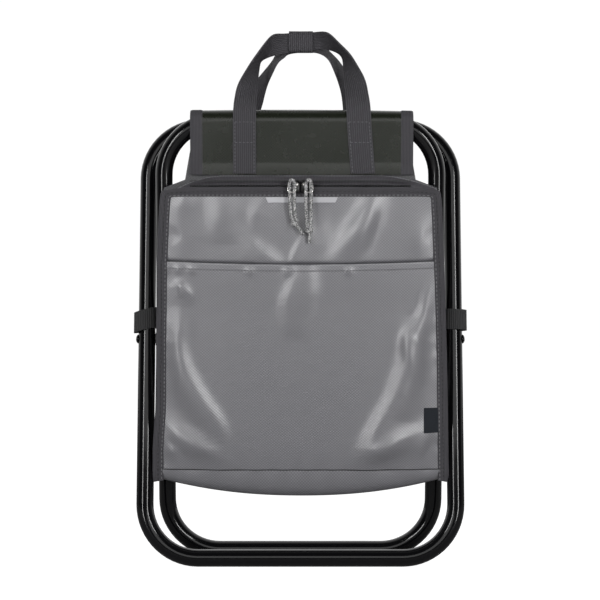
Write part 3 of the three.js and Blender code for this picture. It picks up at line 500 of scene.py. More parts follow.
def block(plane, low, high, bevel):
    """A box with bevelled edges, between two corners in a plane's coordinates."""
    low, high = np.array(low, float), np.array(high, float)
    half = (high - low) / 2
    middle = (high + low) / 2
    corner = np.array([
        (half[0] - bevel, half[2]), (half[0], half[2] - bevel), (half[0], bevel - half[2]),
        (half[0] - bevel, -half[2]), (bevel - half[0], -half[2]), (-half[0], bevel - half[2]),
        (-half[0], half[2] - bevel), (bevel - half[0], half[2]),
    ])
    rings = []
    for depth, inset in ((-half[1], bevel), (bevel - half[1], 0), (half[1] - bevel, 0), (half[1], bevel)):
        scale = 1 - inset / half[[0, 2]]
        across, up = (corner * scale).T
        rings.append(plane.at(middle[0] + across, middle[1] + depth, middle[2] + up))
    count, sides = len(rings), len(corner)
    faces = grid(count, sides, False, True)[0].tolist() + caps(count, sides)
    uv = np.zeros((sum(len(face) for face in faces), 2))
    return Shape(np.concatenate(rings), faces, uv)


def along_line(path, count):
    """Points at even distances along a line."""
    path = np.asarray(path, float)
    far = distances(path)
    places = np.linspace(0, far[-1], count)
    return np.stack([np.interp(places, far, path[:, k]) for k in range(path.shape[1])], -1)


def curve(points, steps=8):
    """A smooth line through points (Catmull-Rom)."""
    points = np.asarray(points, float)
    ends = np.concatenate([2 * points[:1] - points[1:2], points, 2 * points[-1:] - points[-2:-1]])
    t = np.linspace(0, 1, steps, endpoint=False)[:, None]
    spans = []
    for i in range(len(points) - 1):
        a, b, c, d = ends[i:i + 4]
        bow = 2 * a - 5 * b + 4 * c - d
        turn = 3 * b - a - 3 * c + d
        spans.append(0.5 * (2 * b + (c - a) * t + bow * t ** 2 + turn * t ** 3))
    return np.concatenate(spans + [points[-1:]])


def stitches(path, length=2.3, gap=1.3, width=0.7):
    """Thread dashes along a line that lies on the cloth's face."""
    path = np.asarray(path, float)
    total = np.linalg.norm(np.diff(path, axis=0), axis=1).sum()
    count = max(int(total / (length + gap)), 1)
    step = len(STITCH_SHAPE) + 1
    fine = along_line(path, count * step + 1)
    dashes = [fine[step * i:step * (i + 1) - 1] for i in range(count)]
    return [tube(dash, width * STITCH_SHAPE, sides=6) for dash in dashes]


def volume(shape):
    """Above zero where the quads face outward."""
    quads = np.array([face for face in shape.faces if len(face) == 4])
    first, second, third, fourth = (shape.points - shape.points.mean(0))[quads.T]
    return np.sum(first * (np.cross(second, third) + np.cross(third, fourth)))


def placed(name, data):
    """A new object in the scene."""
    made = bpy.data.objects.new(name, data)
    bpy.context.scene.collection.objects.link(made)
    return made


def piece(name, shapes, look, body=None, bend=None, instead_of=()):
    """One mesh object from shapes. It rides one body, or, given a bend, rides none and has its place baked
    into its mesh.
    """
    points, faces, uv = [], [], []
    for shape in shapes:
        first = sum(len(part) for part in points)
        order = -1 if volume(shape) < 0 else 1
        corner = 0
        for face in shape.faces:
            faces.append([first + k for k in face][::order])
            uv.append(shape.uv[corner:corner + len(face)][::order])
            corner += len(face)
        points.append(shape.points)
    mesh = bpy.data.meshes.new(name)
    mesh.from_pydata((np.concatenate(points) * MM).tolist(), [], faces)
    mesh.uv_layers.new(name="cloth").data.foreach_set("uv", np.concatenate(uv).astype(np.float32).ravel())
    mesh.shade_smooth()
    mesh.set_sharp_from_angle(angle=math.radians(40))
    mesh.materials.append(look)
    made = placed(name, mesh)
    if body:
        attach(made, body)
    if bend:
        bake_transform(made)
    if instead_of:
        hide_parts(*instead_of)
    return made


def dress(node, look):
    """A frame piece kept as it is, with its look and a UV map in millimetres."""
    kept = frame["nodes"][node]
    mesh = kept.data
    layer = mesh.uv_layers.get("cloth") or mesh.uv_layers.new(name="cloth")
    for face in mesh.polygons:
        axis = max(range(3), key=lambda k: abs(face.normal[k]))
        first, second = [k for k in range(3) if k != axis]
        for loop in face.loop_indices:
            place = mesh.vertices[mesh.loops[loop].vertex_index].co
            layer.data[loop].uv = (place[first] / MM, place[second] / MM)
    mesh.materials.clear()
    mesh.materials.append(look)


# Materials

def add(tree, kind, settings=(), **values):
    made = tree.nodes.new("ShaderNode" + kind)
    for key, value in dict(settings).items():
        setattr(made, key, value)
    for key, value in values.items():
        made.inputs[key].default_value = value
    return made


def wired(tree, kind, sockets, settings=(), **values):
    """The first output of a new node whose first inputs take the sockets."""
    made = add(tree, kind, settings, **values)
    for socket, place in zip(sockets, made.inputs):
        tree.links.new(socket, place)
    return made.outputs[0]


def material(name, color, roughness, metallic=0.0, specular=0.5):
    made = bpy.data.materials.new(name)
    made.use_nodes = True
    tree = made.node_tree
    shader = tree.nodes["Principled BSDF"]
    names = ("Base Color", "Roughness", "Metallic", "Specular IOR Level")
    for key, value in zip(names, ((*color, 1), roughness, metallic, specular)):
        shader.inputs[key].default_value = value
    return made, tree, shader


def wave(tree, direction, pitch):
    """A sine across the cloth, from -1 to 1."""
    place = add(tree, "UVMap", {"uv_map": "cloth"})
    turn = add(tree, "VectorMath", {"operation": "DOT_PRODUCT"})
    turn.inputs[1].default_value = (*(2 * math.pi / pitch * np.array(direction)), 0)
    tree.links.new(place.outputs["UV"], turn.inputs[0])
    return wired(tree, "Math", [turn.outputs["Value"]], {"operation": "SINE"})


def weave(tree, across, up):
    """Two waves crossed, from -1 to 1."""
    waves = [wave(tree, (1, 0), across), wave(tree, (0, 1), up)]
    return wired(tree, "Math", waves, {"operation": "MULTIPLY"})


def speckle(tree, size, detail=3.0):
    """Noise from 0 to 1 in the piece's own space; size is in millimetres."""
    place = add(tree, "TexCoord").outputs["Object"]
    return wired(tree, "TexNoise", [place], Scale=1 / (size * MM), Detail=detail)


def span(tree, value, start, end, low=0.0, high=1.0):
    """A value from low to high while the given one goes from start to end."""
    limits = {"From Min": start, "From Max": end, "To Min": low, "To Max": high}
    return wired(tree, "MapRange", [value], **limits)


def tone(tree, shader, value, start, end, dark, light):
    """Base colour from dark to light while a value goes from start to end."""
    mix = add(tree, "Mix", {"data_type": "RGBA"})
    mix.inputs[6].default_value = (*dark, 1)
    mix.inputs[7].default_value = (*light, 1)
    tree.links.new(span(tree, value, start, end), mix.inputs[0])
    tree.links.new(mix.outputs[2], shader.inputs["Base Color"])


def patches(tree, shader, size, low, high):
    """Roughness from low to high in patches; size is in millimetres."""
    level = span(tree, speckle(tree, size), *NOISE_RANGE, low, high)
    tree.links.new(level, shader.inputs["Roughness"])


def bump(tree, shader, height, depth, under=None):
    made = add(tree, "Bump", Strength=1.0, Distance=depth * MM)
    tree.links.new(height, made.inputs["Height"])
    if under is not None:
        tree.links.new(under, made.inputs["Normal"])
    tree.links.new(made.outputs["Normal"], shader.inputs["Normal"])
    return made.outputs["Normal"]


def shade(color, factor):
    return tuple(factor * part for part in color)


def tarpaulin(name, color, roughness, shine=0.5, unevenness=0.3):
    """Coated cloth: a woven diamond under a soft shine."""
    made, tree, shader = material(name, color, roughness, specular=shine)
    woven = weave(tree, WEAVE_ACROSS, WEAVE_UP)
    tone(tree, shader, woven, -1, 1, dark=shade(color, 0.66), light=shade(color, 1.34))
    patches(tree, shader, size=9, low=roughness - 0.03, high=roughness + 0.03)
    soft = bump(tree, shader, speckle(tree, size=14, detail=1.0), unevenness)
    bump(tree, shader, woven, WEAVE_DEPTH, soft)
    return made


def webbing(name, color, rib, depth, roughness=0.75):
    """Woven tape with ribs along its length."""
    made, tree, shader = material(name, color, roughness, specular=0.3)
    ribs = wave(tree, (1, 0), rib)
    tone(tree, shader, ribs, -1, 1, dark=shade(color, 0.62), light=shade(color, 1.2))
    rough = bump(tree, shader, speckle(tree, size=0.8), depth=0.12)
    under = bump(tree, shader, weave(tree, across=rib / 2, up=1.3), depth=0.1, under=rough)
    bump(tree, shader, ribs, depth, under)
    return made


def painted_tube():
    made, tree, shader = material("black_paint", (0.0025, 0.0025, 0.003), 0.1, specular=0.3)
    patches(tree, shader, size=14, low=0.08, high=0.15)
    bump(tree, shader, speckle(tree, size=5), depth=0.0015)
    return made


def plated(name, color, low, high):
    made, tree, shader = material(name, color, low, metallic=1.0)
    patches(tree, shader, size=1.5, low=low, high=high)
    return made


def moulded(name, color, roughness):
    made, tree, shader = material(name, color, roughness)
    patches(tree, shader, size=1.2, low=roughness - 0.08, high=roughness + 0.08)
    return made


def crinkled(name, color, roughness, size, depth, metallic=0.0):
    made, tree, shader = material(name, color, roughness, metallic)
    bump(tree, shader, speckle(tree, size), depth)
    return made


def braid():
    made, tree, shader = material("braid", (0.3, 0.3, 0.31), 0.8)
    strands = speckle(tree, size=1.5, detail=1.0)
    tone(tree, shader, strands, 0.35, 0.65, dark=(0.05, 0.05, 0.052), light=(0.42, 0.42, 0.42))
    bump(tree, shader, speckle(tree, size=0.7, detail=1.0), depth=0.3)
    return made


GREEN = (0.0092, 0.0112, 0.0067)
GREY = (0.134, 0.133, 0.144)
TAPE = (0.054, 0.052, 0.058)
PAINT = painted_tube()
NICKEL = plated("nickel", (0.6, 0.59, 0.57), 0.2, 0.34)
DARK_METAL = plated("dark_metal", (0.03, 0.03, 0.03), 0.3, 0.45)
STEEL = plated("steel", (0.36, 0.36, 0.37), 0.3, 0.45)
GREEN_CLOTH = tarpaulin("green_cloth", GREEN, 0.26, 0.44, 0.1)
GREY_CLOTH = tarpaulin("grey_cloth", GREY, 0.36, 1.0)
DARK_CLOTH = tarpaulin("dark_cloth", (0.05, 0.05, 0.054), 0.5)
TAPE_CLOTH = webbing("tape_cloth", TAPE, 1.5, 0.06)
# Painted light: the binding's tape made 1.85 times lighter for the rim, to lift the shade that the seat
# flap casts on it
RIM_TAPE_PAINTED_LIGHT = webbing("rim_tape_painted_light", shade(TAPE, 1.85), 1.5, 0.06)
GREY_WEB = webbing("grey_web", TAPE, 2.1, 0.22)
BLACK_WEB = webbing("black_web", (0.042, 0.042, 0.043), 2.0, 0.18)
THREAD = moulded("thread", (0.13, 0.13, 0.137), 0.7)
# Dark thread for the binding's stitches, also used as painted shadow along the bottom seam
DARK_THREAD_AND_SHADOW = moulded("dark_thread_and_shadow", (0.012, 0.012, 0.013), 0.7)
ZIP_PLASTIC = moulded("zip_plastic", (0.012, 0.012, 0.013), 0.4)
TAB_PLASTIC = moulded("tab_plastic", (0.38, 0.38, 0.4), 0.45)
LABEL_CLOTH = webbing("label_cloth", (0.015, 0.018, 0.024), 0.6, 0.03)
FOAM = crinkled("foam", (0.82, 0.82, 0.8), 0.85, 1.4, 0.25)
LINER = crinkled("liner", (0.72, 0.73, 0.75), 0.3, 7, 0.5, metallic=0.85)
BRAID = braid()


# Frame loops, rivets and the pieces inside them

def rounded_ring(half_across, half_up, radius, steps):
    """Across and up of a rounded oblong, from its right side over its top."""
    angle = np.radians(np.linspace(0, 90, steps))
    parts = []
    for side, level, start in ((1, 1, 0), (-1, 1, 90), (-1, -1, 180), (1, -1, 270)):
        turn = angle + math.radians(start)
        across = side * (half_across - radius) + radius * np.cos(turn)
        up = level * (half_up - radius) + radius * np.sin(turn)
        parts.append(np.stack([across, up], -1))
    return np.concatenate(parts)


def build_frame():
    for body, plane, half in (("outer_frame", OUTER, OUTER_HALF), ("inner_frame", INNER, INNER_HALF)):
        across, up = rounded_ring(half, plane.reach, BEND_RADIUS, steps=16).T
        loop = tube(plane.at(across, 0, up), TUBE_RADIUS, sides=40, closed=True, across=plane.back)
        piece(body + "_loop", [loop], PAINT, body, instead_of=[body + "_tube"])
        dress(body + "_ferrule", STEEL)
    for name, side in SIDES:
        node = "pivot_rivet_" + name
        low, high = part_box(node)
        far = max(abs(low.x), abs(high.x)) / MM
        near = min(abs(low.x), abs(high.x)) / MM
        head = far - OUTER_HALF - TUBE_RADIUS
        radius = (high.z - low.z) / MM / 2
        dome = [(far - head * (1 - math.cos(t)), radius * math.sin(t)) for t in RIVET_DOME]
        shank = [(far - head, radius), (far - head, radius * RIVET_SHANK), (near, radius * RIVET_SHANK)]
        profile = [(side * place, size) for place, size in dome + shank]
        rivet = lathe(profile, np.array([0, PIVOT[1], PIVOT[2]]), (1, 0, 0))
        piece("rivet_" + name, [rivet], PAINT, "pivot_pins", instead_of=[node])
        dress("pivot_washer_" + name, ZIP_PLASTIC)


# Seat cloth

def cloth_radius(x):
    """How far the cloth lies from the rail's middle line, from the left end to the right end."""
    slope = np.interp(x, [-SEAT_HALF_WIDTH, SEAT_HALF_WIDTH], [CLOTH_RADIUS_LEFT, CLOTH_RADIUS_RIGHT])
    return slope + CLOTH_BULGE * (1 - (x / SEAT_HALF_WIDTH) ** 2)


def flap_out(x, below):
    """How far the flap stands out from the rail's middle line, at a distance below it."""
    flare = FLAP_FLARE * ramp(below, *FLAP_FLARE_RAMP)
    turn = x / FLAP_RIPPLE_ACROSS + below / FLAP_RIPPLE_DOWN
    return cloth_radius(x) + flare + FLAP_RIPPLE * np.sin(turn) * ramp(below, *FLAP_RIPPLE_RAMP)


def flap_rows(x):
    """Out and up of the flap below the rail, from the lower edge to the rail."""
    below = np.linspace(FLAP_DROP, 0, num=34)[:, None]
    return np.broadcast_arrays(flap_out(x, below), -below)


def seat_rows(plane, rail, radius, gap, wave_height=0.0):
    """Out and up of a seat half in a loop's plane, from its rail to the crease."""
    part = np.linspace(0, 1, num=40)[:, None]
    crease = np.array([0, PIVOT[1] - rail[1] + gap, -CREASE_BELOW_RAIL])
    out = radius + (crease @ plane.back - radius) * part + wave_height * np.sin(math.pi * part)
    return np.broadcast_arrays(out, crease @ plane.up * part)


def turned(radius, degrees):
    """Out and up of the cloth where it turns over a rail."""
    return radius * np.cos(np.radians(degrees)), radius * np.sin(np.radians(degrees))


def stacked(*parts):
    """Out and up of one cloth from its parts, from the first to the last."""
    return (np.concatenate(rows) for rows in zip(*parts))


def on_rear_flap(x, out, up):
    x, out, up = np.broadcast_arrays(x, out, up)
    return np.stack([x, REAR_RAIL[1] + out, REAR_RAIL[2] + up], -1)


def on_front_flap(x, out, up):
    return INNER.at(x, -out, INNER.reach + up)


def front_cloth(x):
    """One cloth: flap, over the front rail, and down to the crease."""
    radius = cloth_radius(x)
    flap, flap_up = flap_rows(x)
    swing = SEAT_WAVE * np.sin(x / SEAT_WAVE_LENGTH)
    seat = seat_rows(INNER, FRONT_RAIL, radius, -CREASE_GAP, swing)
    out, up = stacked((-flap, flap_up), turned(radius, OVER_FRONT_RAIL), seat)
    return INNER.at(x, out, INNER.reach + up)


def rear_flap_cloth(x):
    """The rear flap hangs straight down from the rear rail; it ends on top of the rail."""
    return on_rear_flap(x, *stacked(flap_rows(x), turned(cloth_radius(x), OVER_REAR_RAIL)))


def rear_seat_cloth(x):
    """The rear seat half, from under the flap on top of the rail down to the crease."""
    radius = cloth_radius(x)
    under = radius - UNDERLAP * ramp(-UNDER_REAR_FLAP, *UNDERLAP_RAMP)
    seat = seat_rows(OUTER, REAR_RAIL, -radius, CREASE_GAP)
    out, up = stacked(turned(under, UNDER_REAR_FLAP), seat)
    return OUTER.at(x, out, OUTER.reach + up)


def rounded_edge(thick, thin):
    """Thickness across a folded tape: thin at its two edges."""
    place = np.linspace(-1, 1, TAPE_COLUMNS)
    return thin + (thick - thin) * np.sqrt(np.clip(1 - place ** 8, 0, 1))


def build_seat():
    half = SEAT_HALF_WIDTH - SEAT_INSET
    x = np.linspace(-half, half, num=61) + SEAT_SHIFT
    front_ends = [FRONT_RAIL + place * INNER.back for place in FRONT_BEND]
    flap_ends = (REAR_RAIL + np.array([0, REAR_FLAP_BEND, 0]), REAR_RAIL)
    rear_ends = (REAR_RAIL, REAR_RAIL + REAR_SEAT_BEND * OUTER.back)
    cloths = (
        ("front_cloth", front_cloth, ("inner_frame", "seat_front", *front_ends),
         ["front_flap", "seat_front_half"], ("front_flap_binding_", "seat_front_binding_")),
        ("rear_flap_cloth", rear_flap_cloth, ("rear_flap", "outer_frame", *flap_ends),
         ["rear_flap"], ("rear_flap_binding_",)),
        ("rear_seat_cloth", rear_seat_cloth, ("outer_frame", "seat_rear", *rear_ends),
         ["seat_rear_half"], ("seat_rear_binding_",)),
    )
    edge_ends = (SEAT_HALF_WIDTH - SEAT_BINDING_WIDTH, SEAT_HALF_WIDTH + SEAT_BINDING_OVERHANG)
    edge = np.linspace(*edge_ends, TAPE_COLUMNS)
    thickness = rounded_edge(SEAT_BINDING_THICK, SEAT_BINDING_THIN)
    for name, surface, bend, nodes, bindings in cloths:
        cloth = sheet(surface(x), CLOTH)
        made = piece(name, [cloth], GREEN_CLOTH, bend=bend, instead_of=nodes)
        drop = lengths(surface(x), 0)[-1]
        for (side, sign), (other, _) in zip(SIDES, SIDES[::-1]):
            strip = sheet(surface(np.sort(sign * edge) + SEAT_SHIFT), thickness)
            end = other if surface is rear_flap_cloth else side
            piece(f"{name}_binding_{side}", [strip], TAPE_CLOTH, bend=bend,
                  instead_of=[node + end for node in bindings])


# Webbing handles: across and up of the outer edge, then of the inner edge

FRONT_WEB = [
    (-69.7, 474, -45.9, 474), (-68.2, 491, -45.0, 491), (-65.5, 500, -45.0, 500), (-61, 509, -45.2, 508),
    (-56, 518, -44.3, 517), (-50.8, 527, -43.6, 526), (-44.2, 536, -42.6, 530.5), (-38, 545, -39.2, 533),
    (-32, 553, -34.1, 535), (-26.9, 558.2, -27, 537), (-12.1, 560.4, -12.1, 540),
    (13.3, 560.6, 13.3, 541.5), (20.5, 561.8, 18.5, 544), (29.5, 557, 29, 543.5), (34.5, 552.5, 35, 542),
    (41.8, 544, 42, 539), (51.3, 536, 45.5, 533.5), (57, 526.7, 45.7, 526), (62.3, 517.6, 45.8, 518),
    (67.5, 508.6, 46, 509), (70.5, 495.3, 46.4, 495.3), (73, 474, 47.8, 474),
]
REAR_WEB = [
    (-71, 476, -46, 476), (-67, 488, -41, 488), (-62, 497, -38.5, 497), (-53, 508, -35, 509),
    (-44.6, 516.6, -30.5, 516.6), (-37.9, 524.2, -27, 524), (-31.4, 531.7, -23.5, 530),
    (-27, 538, -18.5, 533.5),
    (-21, 551, -15, 536), (-12.1, 558.5, -12.1, 539.5), (13, 558.5, 13, 540.5), (23, 552, 20.8, 539),
    (33, 542, 27.3, 535.2), (41, 534.5, 31.5, 530.5), (48, 524, 34.9, 523), (53.5, 513, 38.3, 515.6),
    (61, 504, 42.8, 504.7), (68, 492, 45.6, 492), (71, 476, 46.8, 476),
]


def even_out(rows, places, rounds):
    """Draw rows of points towards their neighbours."""
    for _ in range(rounds):
        rows[places] = rows[places] / 2 + (rows[places - 1] + rows[places + 1]) / 4


def web_surface(edges, foot, side):
    """Rows of points across the arch. The strap leans from its foot to the gathered top."""
    line = curve(edges, steps=6)
    even_out(line, np.arange(1, len(line) - 1), WEB_SMOOTHING)
    outer, inner = line[:, :2], line[:, 2:]
    seen = np.linalg.norm(outer - inner, axis=1)
    height = (outer[:, 1] + inner[:, 1]) / 2 - foot[2]
    twist = smooth(height, *TWIST_RAMP) * smooth(np.abs(outer[:, 0]), *GRIP_RAMP)
    depth = np.sqrt(np.clip(WEB_WIDTH ** 2 - seen ** 2, 0, None)) * side * twist
    lean = smooth(height, *LEAN_RAMP)
    start = foot[1] + side * WEB_FOOT_OUT
    middle = start + (PIVOT[1] + side * PARTING - start) * lean
    across = np.linspace(0, 1, WEB_COLUMNS)[None, :]
    flat = outer[:, None] + (inner - outer)[:, None] * across[..., None]
    y = middle[:, None] + depth[:, None] * (0.5 + TWIST_FORWARD - across)
    return np.stack([flat[..., 0], y, flat[..., 1]], -1)


def tab_surface(ends, slant, place):
    """Rows of a sewn end on the flap, from the flap's edge up to the rail."""
    below = np.linspace(FLAP_DROP - TAB_INSET, 0, TAB_ROWS)[:, None]
    x = np.linspace(*ends, WEB_COLUMNS) + slant * below / FLAP_DROP
    out = flap_out(x, below) + CLOTH / 2 + WEB_THICKNESS / 2 + TAB_GAP
    return place(x, out, -below)


def box_stitch(ends, slant, place):
    """The sewn box: two lines down the webbing's edges and two across."""
    left, right = ends[0] + BOX_INSET, ends[1] - BOX_INSET
    foot = FLAP_DROP - BOX_INSET
    lines = [np.linspace((x, BOX_TOP), (x, foot), num=30) for x in (left, right)]
    lines += [np.linspace((left, below), (right, below), num=14) for below in (BOX_TOP, BOX_LOW)]
    made = []
    for line in lines:
        x, below = line.T
        x = x + slant * below / FLAP_DROP
        out = flap_out(x, below) + CLOTH / 2 + WEB_THICKNESS + BOX_PROUD
        made += stitches(place(x, out, -below))
    return made


def build_handle(name, edges, foot, side, flap_body, place, slants):
    left, right = sorted(edges[0][::2]), sorted(edges[-1][::2])
    start = tab_surface(left, slants[0], place)
    end = tab_surface(right[::-1], slants[1], place)
    rows = np.concatenate([start, web_surface(edges, foot, side), end[::-1]])
    for first in (TAB_ROWS - ROWS_BELOW_FOOT, len(rows) - TAB_ROWS - ROWS_ABOVE_FOOT):
        even_out(rows, np.arange(first, first + ROWS_BELOW_FOOT + ROWS_ABOVE_FOOT), FOOT_SMOOTHING)
    bend = (flap_body, name, *(foot + np.array([0, 0, level]) for level in FOOT_BEND))
    piece(name + "_web", [sheet(rows, WEB_THICKNESS)], GREY_WEB, bend=bend,
          instead_of=[name, name + "_tab_left", name + "_tab_right"])
    thread = box_stitch(left, slants[0], place) + box_stitch(right, slants[1], place)
    piece(name + "_stitches", thread, THREAD, flap_body)


def build_handles():
    slants = (0, FRONT_TAB_SLANT)
    build_handle("front_handle", FRONT_WEB, FRONT_FOOT, -1, "inner_frame", on_front_flap, slants)
    build_handle("rear_handle", REAR_WEB, REAR_FOOT, 1, "rear_flap", on_rear_flap, (0, 0))
    half_height = (WRAP_HIGH - WRAP_LOW) / 2
    ring = rounded_ring(WRAP_HALF_DEPTH, half_height, WRAP_CORNER, steps=7)
    end = (WRAP_HALF_DEPTH + WRAP_LIFT, ring[0, 1] + WRAP_OVERLAP)
    ring = along_line(np.concatenate([ring, ring[:1], [end]]), count=90)
    x = np.linspace(-WRAP_HALF_LENGTH, WRAP_HALF_LENGTH, len(WRAP_BELLY)) + WRAP_MIDDLE
    y = PIVOT[1] + ring[:, :1] * (1 + WRAP_BELLY / WRAP_HALF_DEPTH)
    z = (WRAP_HIGH + WRAP_LOW) / 2 + ring[:, 1:]
    band = sheet(np.stack(np.broadcast_arrays(x, y, z), -1), WRAP_THICKNESS)
    piece("grip_band", [band], GREY_WEB, "front_handle", instead_of=["grip_wrap"])


# Bag

def on_bag(x, y, z):
    """A place on the bag, which hangs a little to the right and is wider at its left corners."""
    x, y, z = np.broadcast_arrays(x, y, z)
    wider = np.interp(z, LEFT_EDGE_LEVELS, LEFT_EDGE_WIDER) * np.clip(-x / BAG_HALF_PIVOT, 0, None)
    return INNER.at(x - wider + BAG_SHIFT, y, z)


def bag_half(z):
    return np.interp(z, [BAG_SEAM, 0, BAG_TOP], [BAG_HALF_SEAM, BAG_HALF_PIVOT, BAG_HALF_TOP])


def crown(x, z):
    """How far the filled bag bulges forward."""
    across = 1 - np.abs(x / bag_half(z)) ** 3.4
    above = ramp(z, CROWN_LEVEL, BAG_TOP - CROWN_LEVEL, 1.7)
    below = ramp(-z, -CROWN_LEVEL, CROWN_LEVEL - BAG_SEAM, 3)
    return CROWN * np.clip(across, 0, 1) * (1 - above) * (1 - (1 - CROWN_AT_SEAM) * below)


def held(hold, distance):
    """The share of a fold that is left at a distance from a seam."""
    least, *limits = hold
    return least + (1 - least) * smooth(distance, *limits)


def fold_height(x, z, folds):
    """Height of all folds at places on the bag."""
    x = x + BAG_SHIFT
    total = np.zeros(np.broadcast(x, z).shape)
    for steepness, width, far, line in folds:
        line = curve(line, steps=3)
        nearest = np.full(total.shape, np.inf)
        part = np.zeros(total.shape)
        hand = np.zeros(total.shape)
        for i in range(len(line) - 1):
            step = line[i + 1] - line[i]
            dx, dz = x - line[i, 0], z - line[i, 1]
            share = np.clip((dx * step[0] + dz * step[1]) / (step @ step), 0, 1)
            away = np.hypot(dx - share * step[0], dz - share * step[1])
            closer = away < nearest
            nearest = np.where(closer, away, nearest)
            part = np.where(closer, (i + share) / (len(line) - 1), part)
            hand = np.where(closer, step[1] * dx - step[0] * dz, hand)
        wide = abs(width)
        past = nearest * np.sign(hand * width) - RIDGE_AT * wide
        ridge = np.exp(-(past / np.where(past < 0, wide, far)) ** 2)
        total = total + FOLD_GAIN * steepness * wide * np.sin(math.pi * part) * ridge
    return total * held(SIDE_HOLD, bag_half(z) - np.abs(x)) * held(SEAM_HOLD, z - BAG_SEAM)


def gathers(row, distance, along):
    """Height of the gathers at a distance from a sewn edge."""
    height, reach, pitch, drift = row
    near = np.clip(1 - distance / reach, 0, 1) ** 2
    return height * near * np.sin(along / pitch + 2 * np.sin(along / drift))


def swell(x, z, folds):
    """How far the bag's cloth stands out from its plane."""
    edges = gathers(SIDE_GATHERS, bag_half(z) - np.abs(x), z) + gathers(TOP_GATHERS, BAG_TOP - z, x)
    return crown(x, z) + fold_height(x, z, folds) + edges + gathers(SEAM_GATHERS, z - BAG_SEAM, x)


def pocket_edge(x):
    return POCKET_TOP - POCKET_SAG * (1 - (x / BAG_HALF_PIVOT) ** 2)


def panel_out(x, z):
    groove = GROOVE * np.exp(-((z - pocket_edge(x) + GROOVE_BELOW) / GROOVE_WIDTH) ** 2)
    return FRONT_PLANE - swell(x, z, PANEL_FOLDS) + groove


def hem_puckers(x, z):
    """Small gathers along the pocket's hem."""
    rows = sum(np.exp(-((x - place) / PUCKER_WIDTH) ** 2) for place in HEM_PUCKERS)
    return PUCKER_HEIGHT * rows * np.exp(-((z - pocket_edge(x) + HEM_HEIGHT) / PUCKER_WIDTH) ** 2)


def pocket_out(x, z):
    gape = GAPE * smooth(z, *GAPE_RAMP)
    return POCKET_PLANE - swell(x, z, POCKET_FOLDS) - hem_puckers(x, z) - gape


def front_out(x, z):
    """Where the bag's front lies: the pocket, and the panel above it."""
    pocket = pocket_out(x, np.minimum(z, POCKET_TOP))
    return np.where(z > POCKET_TOP + POCKET_STEP, panel_out(x, z), pocket)


def top_edge(x):
    """Height of the bag's front top edge, which slopes down at the corners."""
    return BINDING_TOP - TOP_CORNER_DROP * ramp(np.abs(x), *TOP_CORNER_RAMP)


# Outer edge of the bag's binding, across and up, then its inner edge, on the right hand
BINDING_PAIRS = [
    (152.6, -145.5, 142, -143), (153.2, -133, 142, -133), (151.4, -60, 140.4, -60), (149.5, 0, 139, 0),
    (147, 60, 136.5, 60), (144.2, 125, 133.6, 125), (143.2, 143, 132.6, 141), (142.2, 154, 131.9, 150.4),
    (140.4, 158.4, 130.6, 152.2), (135, 159.6, 128, 152.6), (124, 161.4, 119, 152.8),
    (110, 162.4, 108, 152.8), (90, 162.6, 89, 152.8), (45, 162.6, 45, 152.8),
]


def binding_lines():
    """Both edges of the binding, from the lower right over the top to the lower left."""
    left = [(-outer, high, -inner, low) for outer, high, inner, low in BINDING_PAIRS[::-1]]
    return curve(BINDING_PAIRS + [(0, BINDING_TOP, 0, BINDING_FOOT)] + left)


def front_sheet(low, high, count, out, thickness=BAG_CLOTH):
    """Cloth of the bag's front between two heights, from its left to its right binding."""
    z = low + (high - low) * np.linspace(0, 1, count)[:, None]
    x = ACROSS * (bag_half(z) - CLOTH_INSET)
    return sheet(on_bag(x, out(x, z), z), thickness)


def hem_out(x, z):
    return pocket_out(x, z) - HEM_PROUD


def build_bag_front():
    low = POCKET_TOP - HIDDEN_PANEL
    high = top_edge(ACROSS * bag_half(TOP_CORNER_LEVEL)) - CLOTH_INSET
    cloth = front_sheet(low, high, count=60, out=panel_out)
    panel = piece("bag_front_cloth", [cloth], GREY_CLOTH, "bag_front",
                  instead_of=["bag_front_panel"])
    edge = pocket_edge(ACROSS * BAG_HALF_PIVOT)
    cloth = front_sheet(BAG_SEAM, edge - POCKET_INSET, count=146, out=pocket_out)
    pocket = piece("bag_pocket_cloth", [cloth], GREY_CLOTH, "bag_front",
                   instead_of=["bag_pocket_panel"])
    thickness = rounded_edge(thick=1.3, thin=0.5)[:, None]
    hem = front_sheet(edge - HEM_HEIGHT, edge + HEM_OVER, TAPE_COLUMNS, hem_out, thickness)
    piece("bag_pocket_hem_fold", [hem], GREY_CLOTH, "bag_front",
          instead_of=["bag_pocket_hem"])
    x = ACROSS[0] * (BAG_HALF_PIVOT - HEM_STITCH_INSET)
    z = pocket_edge(x) - HEM_HEIGHT + HEM_STITCH_UP
    line = on_bag(x, pocket_out(x, z) - HEM_STITCH_PROUD, z)
    thread = stitches(line, length=2.4, gap=1.2, width=0.6)
    piece("pocket_stitches", thread, THREAD, "bag_front")


def build_binding():
    outer, inner = np.split(binding_lines()[:, :, None], 2, axis=1)
    x, z = np.moveaxis(outer + (inner - outer) * np.linspace(0, 1, TAPE_COLUMNS), 1, 0)
    out = np.minimum(front_out(x, z), panel_out(x, z)) - BINDING_PROUD
    tape = sheet(on_bag(x, out, z), rounded_edge(thick=2.6, thin=1.2))
    piece("bag_binding", [tape], TAPE_CLOTH, "bag_front",
          instead_of=["bag_binding_left", "bag_binding_right", "bag_binding_top"])
    for name, place, look in (("bag_stitches", BINDING_STITCH, DARK_THREAD_AND_SHADOW),
                              ("bag_edge_stitches", BINDING_EDGE_STITCH, THREAD)):
        x, z = (outer + (inner - outer) * place)[..., 0].T
        line = on_bag(x, front_out(x, z) - BINDING_STITCH_PROUD, z)
        piece(name, stitches(line, length=2.2, gap=2.2, width=1.1), look, "bag_front")


